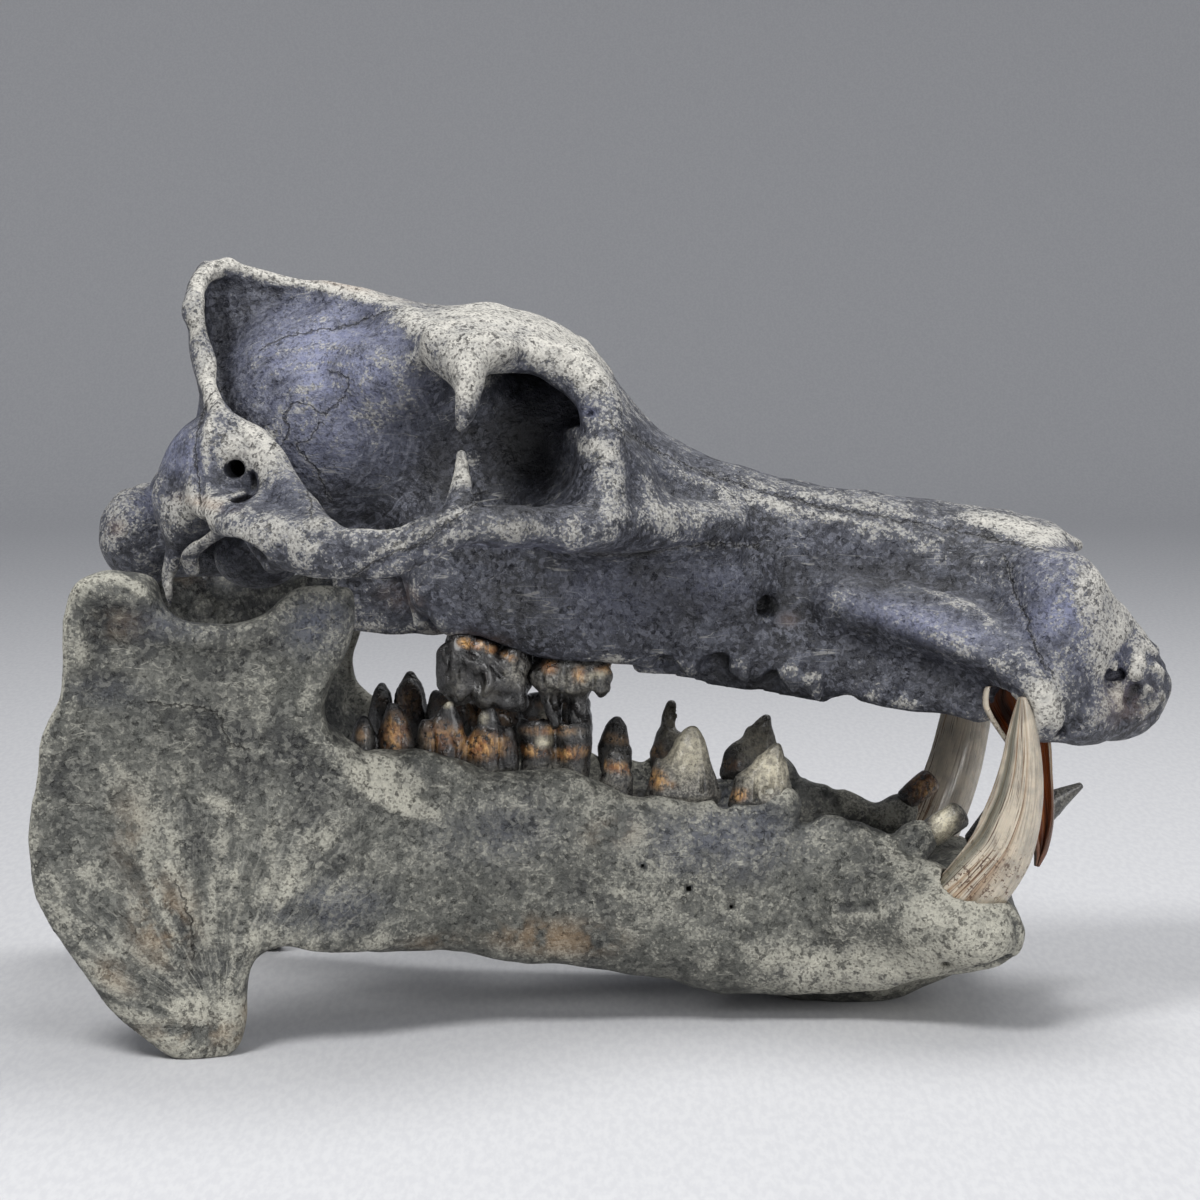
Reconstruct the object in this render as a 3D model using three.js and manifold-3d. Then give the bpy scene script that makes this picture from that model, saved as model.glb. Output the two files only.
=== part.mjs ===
// Fossil skull of a dwarf hippopotamus, life size, lying as it rests on a table:
// the cranium is set down on its lower jaw, a little forward of where the joint would hold it.
// Millimetres, +Z up, +X towards the muzzle. The right side of the skull faces -Y.
//
// Each bone is worked out as a field: a number at every point of a grid that says how deep the
// point lies in the bone. Rounded forms are melted together and hollows are melted out of them.
// The skin where the number is zero is then drawn with triangles, and the flat stretches are thinned.
// Teeth are lofted surfaces, set into the bones or joined to them.

import * as THREE from 'three';
import Module from 'manifold-3d';
import { mergeVertices } from 'three/addons/utils/BufferGeometryUtils.js';

const wasm = await Module();
wasm.setup();

// ---------------------------------------------------------------- driving dimensions

const CENTRE_X = 6.5;              // middle of the whole length, which becomes x = 0
const ARCH_HALF = 144;             // half breadth over the cheek arches
const JAW_ANGLE_HALF = 124;        // half breadth over the angles of the lower jaw
const CANINE_HALF = 86;            // half breadth over the upper canine sockets
const CREST_TOP = 338;             // highest point of the crest above the table
const TOOTH_ROW = 46;              // a cheek-tooth row from the midline
const BITE = 133;                  // height of the worn chewing surfaces
const SEAT_GAP = 0.3;              // clearance between pieces that touch
const CELL = 4.6;                  // grid spacing of the fields
const CRANIUM_FACES = 3650;        // triangles left on the cranium's bone after thinning
const MANDIBLE_FACES = 1800;       // and on the lower jaw's

// ---------------------------------------------------------------- fields

const softMin = (a, b, k) => {
  if (k <= 0) return Math.min(a, b);
  const h = Math.max(k - Math.abs(a - b), 0) / k;
  return Math.min(a, b) - h * h * k / 4;
};
const softMax = (a, b, k) => -softMin(-a, -b, k);

// A smooth curve through [x, value] knots that never overshoots them.
function through(...knots) {
  const slopes = knots.slice(1).map(([x, v], i) => (v - knots[i][1]) / (x - knots[i][0]));
  const tangents = knots.map((_, i) => {
    const before = slopes[i - 1];
    const after = slopes[i];
    if (before === undefined) return after;
    if (after === undefined) return before;
    return before * after <= 0 ? 0 : 2 * before * after / (before + after);
  });
  return (x) => {
    let i = 0;
    while (i < knots.length - 2 && x > knots[i + 1][0]) i += 1;
    const width = knots[i + 1][0] - knots[i][0];
    const t = Math.min(Math.max((x - knots[i][0]) / width, 0), 1);
    const rise = t * t * (3 - 2 * t);
    return knots[i][1] * (1 - rise) + knots[i + 1][1] * rise
      + width * (t * (1 - t) ** 2 * tangents[i] - t * t * (1 - t) * tangents[i + 1]);
  };
}

// A bone as a box of grid points. It starts as one half, where s is the distance from the midline.
class Bone {
  constructor(low, high) {
    this.low = low;
    this.count = high.map((top, i) => Math.ceil((top - low[i]) / CELL) + 1);
    this.depth = new Float32Array(this.count[0] * this.count[1] * this.count[2]).fill(60);
  }

  // The whole bone, with the half copied to the right side, where s is minus y.
  mirrored() {
    const [, half] = this.count;
    const whole = new Bone(this.low, this.low);
    whole.low = [this.low[0], -CELL * (half - 1), this.low[2]];
    whole.count = [this.count[0], 2 * half - 1, this.count[2]];
    whole.depth = new Float32Array(whole.count[0] * whole.count[1] * whole.count[2]);
    for (let i = 0; i < whole.count[0]; i += 1) {
      for (let j = 0; j < whole.count[1]; j += 1) {
        for (let k = 0; k < whole.count[2]; k += 1) {
          whole.depth[whole.index(i, j, k)] = this.depth[this.index(i, Math.abs(j - half + 1), k)];
        }
      }
    }
    return whole;
  }

  index(i, j, k) {
    return (i * this.count[1] + j) * this.count[2] + k;
  }

  change(shape, blend, mix) {
    const pad = blend + 2 * CELL;
    const from = [0, 1, 2].map((i) => Math.max(0, Math.floor((shape.low[i] - pad - this.low[i]) / CELL)));
    const to = [0, 1, 2].map((i) =>
      Math.min(this.count[i] - 1, Math.ceil((shape.high[i] + pad - this.low[i]) / CELL)));
    for (let i = from[0]; i <= to[0]; i += 1) {
      for (let j = from[1]; j <= to[1]; j += 1) {
        for (let k = from[2]; k <= to[2]; k += 1) {
          const at = this.index(i, j, k);
          const point = [this.low[0] + i * CELL, this.low[1] + j * CELL, this.low[2] + k * CELL];
          this.depth[at] = mix(this.depth[at], shape.depth(...point), blend);
        }
      }
    }
    return this;
  }

  add(shape, blend = 8) {
    return this.change(shape, blend, softMin);
  }

  cut(shape, blend = 4) {
    return this.change(shape, blend, (old, hollow, k) => softMax(old, -hollow, k));
  }
}

// An egg: an ellipsoid about centre [x, s, z], pitched nose-up and yawed outwards in degrees.
function egg(centre, radii, pitch = 0, yaw = 0) {
  const p = THREE.MathUtils.degToRad(pitch);
  const w = THREE.MathUtils.degToRad(yaw);
  const along = [Math.cos(p) * Math.cos(w), Math.cos(p) * Math.sin(w), Math.sin(p)];
  const side = [-Math.sin(w), Math.cos(w), 0];
  const up = [-Math.sin(p) * Math.cos(w), -Math.sin(p) * Math.sin(w), Math.cos(p)];
  const reach = [0, 1, 2].map((i) =>
    Math.hypot(along[i] * radii[0], side[i] * radii[1], up[i] * radii[2]));
  return {
    low: centre.map((c, i) => c - reach[i]),
    high: centre.map((c, i) => c + reach[i]),
    depth(x, s, z) {
      const d = [x - centre[0], s - centre[1], z - centre[2]];
      const local = [along, side, up].map((axis) => axis[0] * d[0] + axis[1] * d[1] + axis[2] * d[2]);
      const size = Math.hypot(local[0] / radii[0], local[1] / radii[1], local[2] / radii[2]);
      const steep = Math.hypot(local[0] / radii[0] ** 2, local[1] / radii[1] ** 2, local[2] / radii[2] ** 2);
      return size * (size - 1) / (steep + 1e-9);
    },
  };
}

// A bar along a smooth path of [x, s, z, halfWide, halfTall] stations.
function bar(...stations) {
  const line = new THREE.CatmullRomCurve3(stations.map((p) => new THREE.Vector3(p[0], p[1], p[2])));
  const steps = (stations.length - 1) * 4;
  const points = Array.from({ length: steps + 1 }, (_, i) => {
    const place = i / 4;
    const a = Math.min(Math.floor(place), stations.length - 2);
    const t = place - a;
    const size = [3, 4].map((q) => stations[a][q] * (1 - t) + stations[a + 1][q] * t);
    return { at: line.getPoint(i / steps), wide: size[0], tall: size[1] };
  });
  const fat = Math.max(...points.map((p) => Math.max(p.wide, p.tall)));
  const spans = points.slice(1).map((to, i) => {
    const from = points[i];
    const run = to.at.clone().sub(from.at);
    const length = run.length();
    run.divideScalar(length);
    const side = new THREE.Vector3(-run.y, run.x, 0);
    if (side.length() < 1e-3) side.set(0, 1, 0);
    side.normalize();
    return { from, to, run, side, up: run.clone().cross(side), length };
  });
  const corner = (pick, sign) => ['x', 'y', 'z'].map((q) =>
    pick(...points.map((p) => p.at[q])) + sign * fat);
  return {
    low: corner(Math.min, -1),
    high: corner(Math.max, 1),
    depth(x, s, z) {
      let best = Infinity;
      for (const { from, to, run, side, up, length } of spans) {
        const dx = x - from.at.x;
        const ds = s - from.at.y;
        const dz = z - from.at.z;
        const t = Math.min(Math.max((dx * run.x + ds * run.y + dz * run.z) / length, 0), 1);
        const wide = from.wide + (to.wide - from.wide) * t;
        const tall = from.tall + (to.tall - from.tall) * t;
        const rx = dx - t * length * run.x;
        const rs = ds - t * length * run.y;
        const rz = dz - t * length * run.z;
        const a = (rx * side.x + rs * side.y + rz * side.z);
        const b = (rx * up.x + rs * up.y + rz * up.z);
        const c = (rx * run.x + rs * run.y + rz * run.z);
        const thin = Math.min(wide, tall);
        const size = Math.hypot(a / wide, b / tall, c / thin);
        const steep = Math.hypot(a / wide ** 2, b / tall ** 2, c / thin ** 2);
        best = Math.min(best, size < 1e-3 ? -thin : size * (size - 1) / steep);
      }
      return best;
    },
  };
}

// A sheet of bone. Its outline lies in one plane ('side' is x and z, 'back' is s and z, 'top' is x and s),
// and middle and half give the place and half thickness of the sheet across that plane.
const PLANES = { side: [0, 2, 1], back: [1, 2, 0], top: [0, 1, 2] };

function sheet(plane, outline, middle, half, round = 6) {
  const [a, b, c] = PLANES[plane];
  const curve = new THREE.CatmullRomCurve3(outline.map((p) => new THREE.Vector3(p[0], p[1], 0)), true);
  const ring = curve.getPoints(outline.length * 4);
  const low = [0, 0, 0];
  const high = [0, 0, 0];
  low[a] = Math.min(...ring.map((p) => p.x));
  high[a] = Math.max(...ring.map((p) => p.x));
  low[b] = Math.min(...ring.map((p) => p.y));
  high[b] = Math.max(...ring.map((p) => p.y));
  const levels = ring.map((p) => middle(p.x, p.y));
  low[c] = Math.min(...levels) - 20;
  high[c] = Math.max(...levels) + 20;
  return {
    low,
    high,
    depth(...point) {
      const u = point[a];
      const v = point[b];
      let near = Infinity;
      let inside = false;
      for (let i = 1; i < ring.length; i += 1) {
        const p = ring[i - 1];
        const q = ring[i];
        const ex = q.x - p.x;
        const ey = q.y - p.y;
        const t = Math.min(Math.max(((u - p.x) * ex + (v - p.y) * ey) / (ex * ex + ey * ey), 0), 1);
        near = Math.min(near, (u - p.x - t * ex) ** 2 + (v - p.y - t * ey) ** 2);
        if ((p.y > v) !== (q.y > v) && u < ex * (v - p.y) / ey + p.x) inside = !inside;
      }
      const edge = inside ? -Math.sqrt(near) : Math.sqrt(near);
      const across = Math.abs(point[c] - middle(u, v)) - half(u, v, Math.max(-edge, 0));
      return softMax(edge, across, round);
    },
  };
}

// A hull along x with a rounded-box section: top and bottom heights, and half widths high up and low down.
function hull(from, to, { top, bottom, wideHigh, wideLow, square = 2.6, middle = () => 0 }) {
  const samples = Array.from({ length: 21 }, (_, i) => from + (to - from) * i / 20);
  const widest = Math.max(...samples.map((x) => Math.max(wideHigh(x), wideLow(x)) + middle(x)));
  return {
    low: [from, 0, Math.min(...samples.map(bottom))],
    high: [to, widest, Math.max(...samples.map(top))],
    depth(x, s, z) {
      const at = Math.min(Math.max(x, from), to);
      const tall = (top(at) - bottom(at)) / 2;
      const v = (z - bottom(at)) / tall - 1;
      const lift = Math.min(Math.max(v * 0.5 + 0.5, 0), 1);
      const blend = lift * lift * (3 - 2 * lift);
      const wide = wideLow(at) * (1 - blend) + wideHigh(at) * blend;
      const size = (Math.abs((s - middle(at)) / wide) ** square + Math.abs(v) ** square) ** (1 / square);
      const section = (size - 1) * Math.min(wide, tall);
      return softMax(section, Math.max(from - x, x - to), 10);
    },
  };
}

// ---------------------------------------------------------------- drawing a field with triangles

// The six tetrahedra of a grid cube, all sharing the long diagonal from corner 0 to corner 7.
const TETRAHEDRA = [[0, 1, 3, 7], [0, 3, 2, 7], [0, 2, 6, 7], [0, 6, 4, 7], [0, 4, 5, 7], [0, 5, 1, 7]];

function skin(bone) {
  const [nx, ny, nz] = bone.count;
  const points = [];
  const faces = [];
  const made = new Map();
  const cross = (a, b) => {
    const [p, q] = a.id < b.id ? [a, b] : [b, a];
    const key = p.id * 8 + (q.i - p.i) * 4 + (q.j - p.j) * 2 + (q.k - p.k);
    if (!made.has(key)) {
      const t = Math.min(Math.max(p.d / (p.d - q.d), 0.04), 0.96);
      made.set(key, points.length);
      points.push([
        bone.low[0] + CELL * (p.i + t * (q.i - p.i)),
        bone.low[1] + CELL * (p.j + t * (q.j - p.j)),
        bone.low[2] + CELL * (p.k + t * (q.k - p.k)),
      ]);
    }
    return made.get(key);
  };
  for (let i = 0; i < nx - 1; i += 1) {
    for (let j = 0; j < ny - 1; j += 1) {
      for (let k = 0; k < nz - 1; k += 1) {
        const corners = Array.from({ length: 8 }, (_, c) => {
          const [ci, cj, ck] = [i + (c >> 2), j + ((c >> 1) & 1), k + (c & 1)];
          const id = bone.index(ci, cj, ck);
          return { i: ci, j: cj, k: ck, id, d: bone.depth[id] };
        });
        const deep = corners.filter((c) => c.d < 0).length;
        if (deep === 0 || deep === 8) continue;
        for (const tet of TETRAHEDRA) {
          const inside = tet.filter((c) => corners[c].d < 0);
          const outside = tet.filter((c) => corners[c].d >= 0);
          if (inside.length === 0 || outside.length === 0) continue;
          const pairs = inside.flatMap((a) => outside.map((b) => cross(corners[a], corners[b])));
          const loops = pairs.length === 3 ? [pairs] : [
            [pairs[0], pairs[1], pairs[3]],
            [pairs[0], pairs[3], pairs[2]],
          ];
          for (const loop of loops) faces.push(turnOut(loop, corners[inside[0]], points, bone));
        }
      }
    }
  }
  return { points, faces };
}

// Puts a triangle's corners in the order that makes it face away from the deep corner.
function turnOut(loop, deepCorner, points, bone) {
  const [a, b, c] = loop.map((v) => new THREE.Vector3(...points[v]));
  const deep = new THREE.Vector3(deepCorner.i, deepCorner.j, deepCorner.k)
    .multiplyScalar(CELL)
    .add(new THREE.Vector3(...bone.low));
  const normal = b.clone().sub(a).cross(c.clone().sub(a));
  return normal.dot(a.sub(deep)) > 0 ? loop : [loop[0], loop[2], loop[1]];
}

// Keeps the largest connected skin, so that no crumb or sealed bubble is left.
function largestPiece({ points, faces }) {
  const parent = points.map((_, i) => i);
  const root = (i) => {
    let top = i;
    while (parent[top] !== top) {
      parent[top] = parent[parent[top]];
      top = parent[top];
    }
    return top;
  };
  for (const [a, b, c] of faces) {
    parent[root(a)] = root(b);
    parent[root(b)] = root(c);
  }
  const sizes = new Map();
  for (const [a] of faces) sizes.set(root(a), (sizes.get(root(a)) ?? 0) + 1);
  const main = [...sizes.entries()].sort((p, q) => q[1] - p[1])[0][0];
  return { points, faces: faces.filter(([a]) => root(a) === main) };
}

// ---------------------------------------------------------------- thinning

// Adds the squared distance to a plane to a quadric, kept as the ten numbers of a symmetric 4 x 4 matrix.
function addPlane(quadric, [a, b, c, d], weight) {
  const terms = [a * a, a * b, a * c, a * d, b * b, b * c, b * d, c * c, c * d, d * d];
  for (let i = 0; i < 10; i += 1) quadric[i] += weight * terms[i];
}

function misfit(q, [x, y, z]) {
  return q[0] * x * x + 2 * q[1] * x * y + 2 * q[2] * x * z + 2 * q[3] * x + q[4] * y * y
    + 2 * q[5] * y * z + 2 * q[6] * y + q[7] * z * z + 2 * q[8] * z + q[9];
}

// The point of least misfit, where the quadric has one.
function bestPoint(q) {
  const matrix = new THREE.Matrix3().set(q[0], q[1], q[2], q[1], q[4], q[5], q[2], q[5], q[7]);
  const size = q[0] + q[4] + q[7];
  if (Math.abs(matrix.determinant()) < 1e-4 * size ** 3) return null;
  return new THREE.Vector3(-q[3], -q[6], -q[8]).applyMatrix3(matrix.invert()).toArray();
}

const faceCross = (a, b, c) => {
  const [ux, uy, uz] = [b[0] - a[0], b[1] - a[1], b[2] - a[2]];
  const [vx, vy, vz] = [c[0] - a[0], c[1] - a[1], c[2] - a[2]];
  return [uy * vz - uz * vy, uz * vx - ux * vz, ux * vy - uy * vx];
};

// Collapses the edge that changes the shape least, again and again, until few enough faces are left.
// A collapse that would fold a face over or pinch the skin is refused.
function thin({ points, faces }, target) {
  const place = points.map((p) => [...p]);
  const face = faces.map((f) => [...f]);
  const around = points.map(() => new Set());
  const quadrics = points.map(() => new Float64Array(10));
  const version = new Int32Array(points.length);
  face.forEach((f, index) => {
    const normal = faceCross(...f.map((v) => place[v]));
    const size = Math.hypot(...normal) || 1e-12;
    const unit = normal.map((n) => n / size);
    const offset = -(unit[0] * place[f[0]][0] + unit[1] * place[f[0]][1] + unit[2] * place[f[0]][2]);
    for (const v of f) {
      around[v].add(index);
      addPlane(quadrics[v], [...unit, offset], size / 2);
    }
  });
  const neighbours = (v) => {
    const found = new Set();
    for (const index of around[v]) for (const w of face[index]) if (w !== v) found.add(w);
    return found;
  };
  const plan = (a, b) => {
    const sum = quadrics[a].map((n, i) => n + quadrics[b][i]);
    const mid = place[a].map((n, i) => (n + place[b][i]) / 2);
    const span = Math.hypot(...place[a].map((n, i) => n - place[b][i]));
    const best = bestPoint(sum);
    const near = best && Math.hypot(...best.map((n, i) => n - mid[i])) < 1.2 * span;
    const spots = near ? [best] : [mid, place[a], place[b]];
    const spot = spots.sort((p, q) => misfit(sum, p) - misfit(sum, q))[0];
    return { a, b, spot, sum, cost: misfit(sum, spot) + 0.002 * span ** 3, va: version[a], vb: version[b] };
  };
  const heap = [];
  const push = (item) => {
    let i = heap.push(item) - 1;
    while (i > 0) {
      const up = (i - 1) >> 1;
      if (heap[up].cost <= heap[i].cost) break;
      [heap[up], heap[i]] = [heap[i], heap[up]];
      i = up;
    }
  };
  const pop = () => {
    const top = heap[0];
    const last = heap.pop();
    if (heap.length > 0) {
      heap[0] = last;
      let i = 0;
      for (;;) {
        const [left, right] = [2 * i + 1, 2 * i + 2];
        let least = i;
        if (left < heap.length && heap[left].cost < heap[least].cost) least = left;
        if (right < heap.length && heap[right].cost < heap[least].cost) least = right;
        if (least === i) break;
        [heap[least], heap[i]] = [heap[i], heap[least]];
        i = least;
      }
    }
    return top;
  };
  const folds = (v, other, spot) => [...around[v]].some((index) => {
    if (face[index].includes(other)) return false;
    const before = faceCross(...face[index].map((w) => place[w]));
    const after = faceCross(...face[index].map((w) => (w === v ? spot : place[w])));
    const dot = before[0] * after[0] + before[1] * after[1] + before[2] * after[2];
    return dot <= 0.25 * Math.hypot(...before) * Math.hypot(...after);
  });
  points.forEach((_, v) => {
    for (const w of neighbours(v)) if (v < w) push(plan(v, w));
  });
  let left = face.length;
  while (left > target && heap.length > 0) {
    const { a, b, spot, sum, va, vb } = pop();
    if (version[a] !== va || version[b] !== vb) continue;
    const shared = [...neighbours(a)].filter((w) => neighbours(b).has(w));
    if (shared.length !== 2 || folds(a, b, spot) || folds(b, a, spot)) continue;
    for (const index of [...around[b]]) {
      if (face[index].includes(a)) {
        for (const w of face[index]) around[w].delete(index);
        face[index] = null;
        left -= 1;
      } else {
        face[index][face[index].indexOf(b)] = a;
        around[a].add(index);
      }
    }
    around[b].clear();
    place[a] = spot;
    quadrics[a] = sum;
    version[a] += 1;
    version[b] += 1;
    for (const w of neighbours(a)) push(plan(a, w));
  }
  return { points: place, faces: face.filter(Boolean) };
}

// ---------------------------------------------------------------- solids

function solidOf({ points, faces }) {
  return new wasm.Manifold(new wasm.Mesh({
    numProp: 3,
    vertProperties: new Float32Array(points.flat()),
    triVerts: new Uint32Array(faces.flat()),
  }));
}

function solidOfGeometry(geometry) {
  const bare = geometry.index ? geometry.clone() : geometry;
  bare.deleteAttribute('normal');
  bare.deleteAttribute('uv');
  const merged = mergeVertices(bare, 1e-4);
  return new wasm.Manifold(new wasm.Mesh({
    numProp: 3,
    vertProperties: new Float32Array(merged.attributes.position.array),
    triVerts: new Uint32Array(merged.index.array),
  }));
}

// ---------------------------------------------------------------- cranium

// The roof line of the skull along the midline, from the crest over the forehead to the nose.
const ROOF = through([-186, 331], [-172, CREST_TOP], [-152, 334], [-122, 326], [-90, 320], [-72, 317],
  [-50, 319], [-36, 316], [-20, 310], [-9, 302], [0, 290], [23, 263], [45, 250], [68, 243], [113, 234],
  [159, 226], [204, 219], [222, 210]);

function craniumField() {
  const bone = new Bone([-236, 0, 114], [266, 156, 348]);
  muzzle(bone);
  braincase(bone);
  forehead(bone);
  orbitAndTemple(bone);
  cheekArch(bone);
  base(bone);
  const whole = bone.mirrored();
  // The outer wall of the right canine socket is broken away.
  whole.cut(egg([177, -92, 141], [12, 15, 13]), 3);
  return whole;
}

function muzzle(bone) {
  bone.add(hull(-95, 214, {
    top: (x) => (x < -16 ? 292 : Math.min(ROOF(x), 292)),
    bottom: through([-95, 196], [-75, 180], [-40, 166], [50, 160], [120, 152], [180, 150], [214, 152]),
    wideHigh: through([-95, 28], [-60, 33], [-20, 44], [10, 54], [30, 48], [60, 38], [100, 32],
      [150, 34], [190, 40], [214, 38]),
    wideLow: through([-95, 34], [-70, 52], [-20, 58], [10, 58], [50, 50], [90, 43], [120, 43],
      [150, 52], [175, 64], [200, 68], [214, 62]),
  }));
  bone.add(egg([-4, 56, 236], [30, 32, 30]), 12);
  bone.add(bar([-74, 44, 193, 11, 13], [-46, 45, 186, 13, 15], [0, 45, 176, 12, 14], [40, 43, 166, 10, 14],
    [90, 40, 158, 8, 13], [130, 44, 152, 9, 12], [165, 62, 147, 9, 11]), 14);
  bone.add(bar([-30, 46, 204, 10, 12], [10, 50, 200, 9, 14], [50, 44, 194, 7, 14], [84, 36, 188, 6, 12]), 16);
  canineAndFront(bone);
  bone.cut(egg([138, 70, 170], [38, 19, 19], -22), 10);
  bone.cut(egg([60, 0, 146], [122, 28, 14]), 10);
  for (const [x, z] of [[31, 150], [50, 146], [67, 145], [83, 143], [108, 137]]) {
    bone.cut(egg([x, 45, z], [6, 9, 11]), 1.5);
  }
  bone.cut(egg([86, 46, 191], [9, 9, 6], -10), 5);
}

function canineAndFront(bone) {
  const out = CANINE_HALF - 12;
  bone.add(bar([118, 42, 200, 12, 14], [148, 54, 190, 16, 18], [172, out - 8, 172, 17, 21],
    [189, out, 154, 14, 18], [190, out, 144, 13, 12]), 24);
  bone.add(egg([204, 54, 176], [22, 24, 34]), 14);
  bone.add(bar([192, 34, 198, 22, 20], [218, 36, 180, 23, 21], [234, 36, 156, 23, 20],
    [235, 36, 142, 20, 17]), 14);
  bone.add(bar([190, out, 147, 12, 15], [208, 64, 141, 13, 14], [226, 46, 140, 14, 14]), 8);
  bone.add(bar([170, 0, 216, 26, 8], [202, 0, 213, 23, 6], [220, 0, 208, 14, 3]), 6);
  bone.cut(egg([240, 0, 188], [50, 21, 19], 18), 6);
  bone.cut(egg([264, 0, 148], [30, 8, 50]), 6);
}

function braincase(bone) {
  bone.add(egg([-118, 0, 266], [62, 49, 52]), 12);
  bone.add(egg([-80, 24, 282], [38, 27, 24]), 12);
  const low = 262;
  bone.add(sheet('side',
    [[-181, 314], [-181, 328], [-171, CREST_TOP - 2], [-152, 333], [-122, 323], [-96, 315], [-76, 304],
      [-66, 288], [-100, low], [-150, low], [-172, 285]],
    () => 0,
    (x, z) => 4.5 + 30 * (Math.max(334 - z, 0) / 72) ** 2), 14);
  bone.add(sheet('back',
    [[-30, CREST_TOP - 3], [12, CREST_TOP - 3], [28, 328], [38, 314], [45, 298], [54, 285], [68, 275],
      [84, 265], [89, 250], [84, 234], [72, 222], [50, 212], [20, 204], [-30, 204]],
    (s, z) => {
      const rim = through([204, -182], [236, -168], [264, -162], [282, -168], [300, -174], [320, -178],
        [338, -175])(z);
      const swell = through([204, 24], [235, 30], [250, 24], [261, 16], [282, 6], [310, 0])(z);
      return rim - swell * Math.max(1 - (s / 52) ** 2, 0);
    },
    () => 7), 14);
  bone.add(egg([-168, 60, 244], [22, 30, 26]), 12);
  bone.add(egg([-158, 76, 250], [20, 13, 19]), 8);
}

function forehead(bone) {
  const thick = 9;
  bone.add(sheet('top',
    [[14, -30], [14, 30], [5, 54], [-8, 66], [-26, 76], [-45, 82], [-62, 88], [-75, 82], [-80, 64], [-92, 38],
      [-108, 18], [-124, 6], [-124, -30]],
    (x, s) => ROOF(x) - thick - 12 * (s / 80) ** 2,
    () => thick, 9), 12);
}

function orbitAndTemple(bone) {
  bone.cut(egg([-32, 101, 259], [27, 64, 31]), 8);
  bone.cut(egg([-96, 104, 248], [40, 52, 46]), 10);
  bone.add(egg([-90, 40, 288], [24, 20, 17]), 14);
  bone.add(bar([-67, 80, 301, 13, 8], [-64, 94, 288, 9, 6], [-59, 104, 268, 4, 4]), 8);
  bone.add(bar([-12, 64, 294, 9, 8], [0, 73, 277, 9, 8], [3, 82, 256, 9, 8],
    [-2, 93, 238, 11, 9], [-8, 100, 227, 12, 9]), 8);
}

function cheekArch(bone) {
  const out = ARCH_HALF - 7;
  bone.add(bar([-160, 76, 238, 20, 11], [-152, 98, 230, 22, 10], [-136, 121, 222, 18, 12],
    [-112, out - 3, 217, 9, 12], [-86, out, 217, 7, 12], [-62, out - 6, 226, 8, 9],
    [-34, 118, 226, 10, 6.5]), 8);
  bone.add(bar([-40, 122, 226, 10, 6.5], [-18, 106, 225, 12, 8], [4, 85, 223, 15, 10],
    [28, 60, 220, 14, 13], [56, 40, 214, 9, 14]), 18);
  bone.add(bar([-168, 72, 264, 7, 6], [-152, 82, 257, 7, 6], [-139, 92, 246, 8, 7],
    [-130, 108, 233, 9, 8], [-116, 126, 224, 8, 8]), 8);
  bone.add(bar([-59, 127, 232, 13, 6], [-58, 118, 244, 7, 5], [-58, 112, 255, 3.5, 3.5]), 6);
  bone.add(bar([-171, 84, 219, 6, 7], [-172, 104, 216, 6, 6], [-164, 119, 220, 6, 6]), 6);
  bone.cut(egg([-152, 112, 208], [17, 36, 12]), 5);
  bone.cut(egg([-157, 92, 249], [5, 12, 5]), 3);
}

function base(bone) {
  bone.add(bar([-208, 0, 206, 24, 12], [-150, 0, 209, 24, 14], [-100, 0, 214, 22, 16],
    [-60, 0, 216, 20, 16]), 12);
  bone.add(egg([-206, 28, 214], [17, 17, 22], 15), 8);
  bone.add(egg([-180, 66, 236], [18, 15, 22]), 8);
  bone.add(bar([-181, 66, 228, 11, 10], [-186, 69, 208, 8, 8], [-189, 71, 193, 6, 5]), 6);
  bone.add(egg([-150, 42, 208], [20, 15, 16]), 6);
  bone.add(sheet('side', [[-104, 214], [-62, 214], [-58, 190], [-70, 173], [-84, 179], [-100, 200]],
    () => 20, () => 4, 4), 6);
  bone.cut(egg([-220, 0, 228], [26, 13, 12]), 5);
  bone.cut(egg([-84, 0, 190], [34, 15, 14]), 6);
}

// ---------------------------------------------------------------- lower jaw

function mandibleField() {
  const bone = new Bone([-250, 0, -6], [206, 140, 216]);
  jawBody(bone);
  jawRamus(bone);
  chin(bone);
  const whole = bone.mirrored();
  // The right side is broken down between the last premolar and the tusk.
  whole.cut(egg([148, -66, 96], [40, 22, 27], -20), 6);
  return whole;
}

function jawBody(bone) {
  bone.add(hull(-125, 178, {
    top: through([-125, 118], [-88, 121], [-44, 115], [-9, 112], [22, 106], [57, 100], [86, 100], [111, 96],
      [132, 92], [155, 84], [178, 66]),
    bottom: through([-125, 50], [-88, 37], [0, 25], [54, 15], [91, 11], [123, 15], [150, 22], [178, 34]),
    wideHigh: through([-125, 12], [-88, 15], [0, 14], [90, 12], [140, 14], [178, 14]),
    wideLow: through([-125, 13], [-88, 18], [0, 18], [90, 17], [140, 18], [178, 14]),
    middle: through([-125, 84], [-88, 68], [-50, 59], [0, 52], [50, 48], [90, 46], [120, 50],
      [150, 62], [178, 70]),
    square: 2.5,
  }));
}

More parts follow.
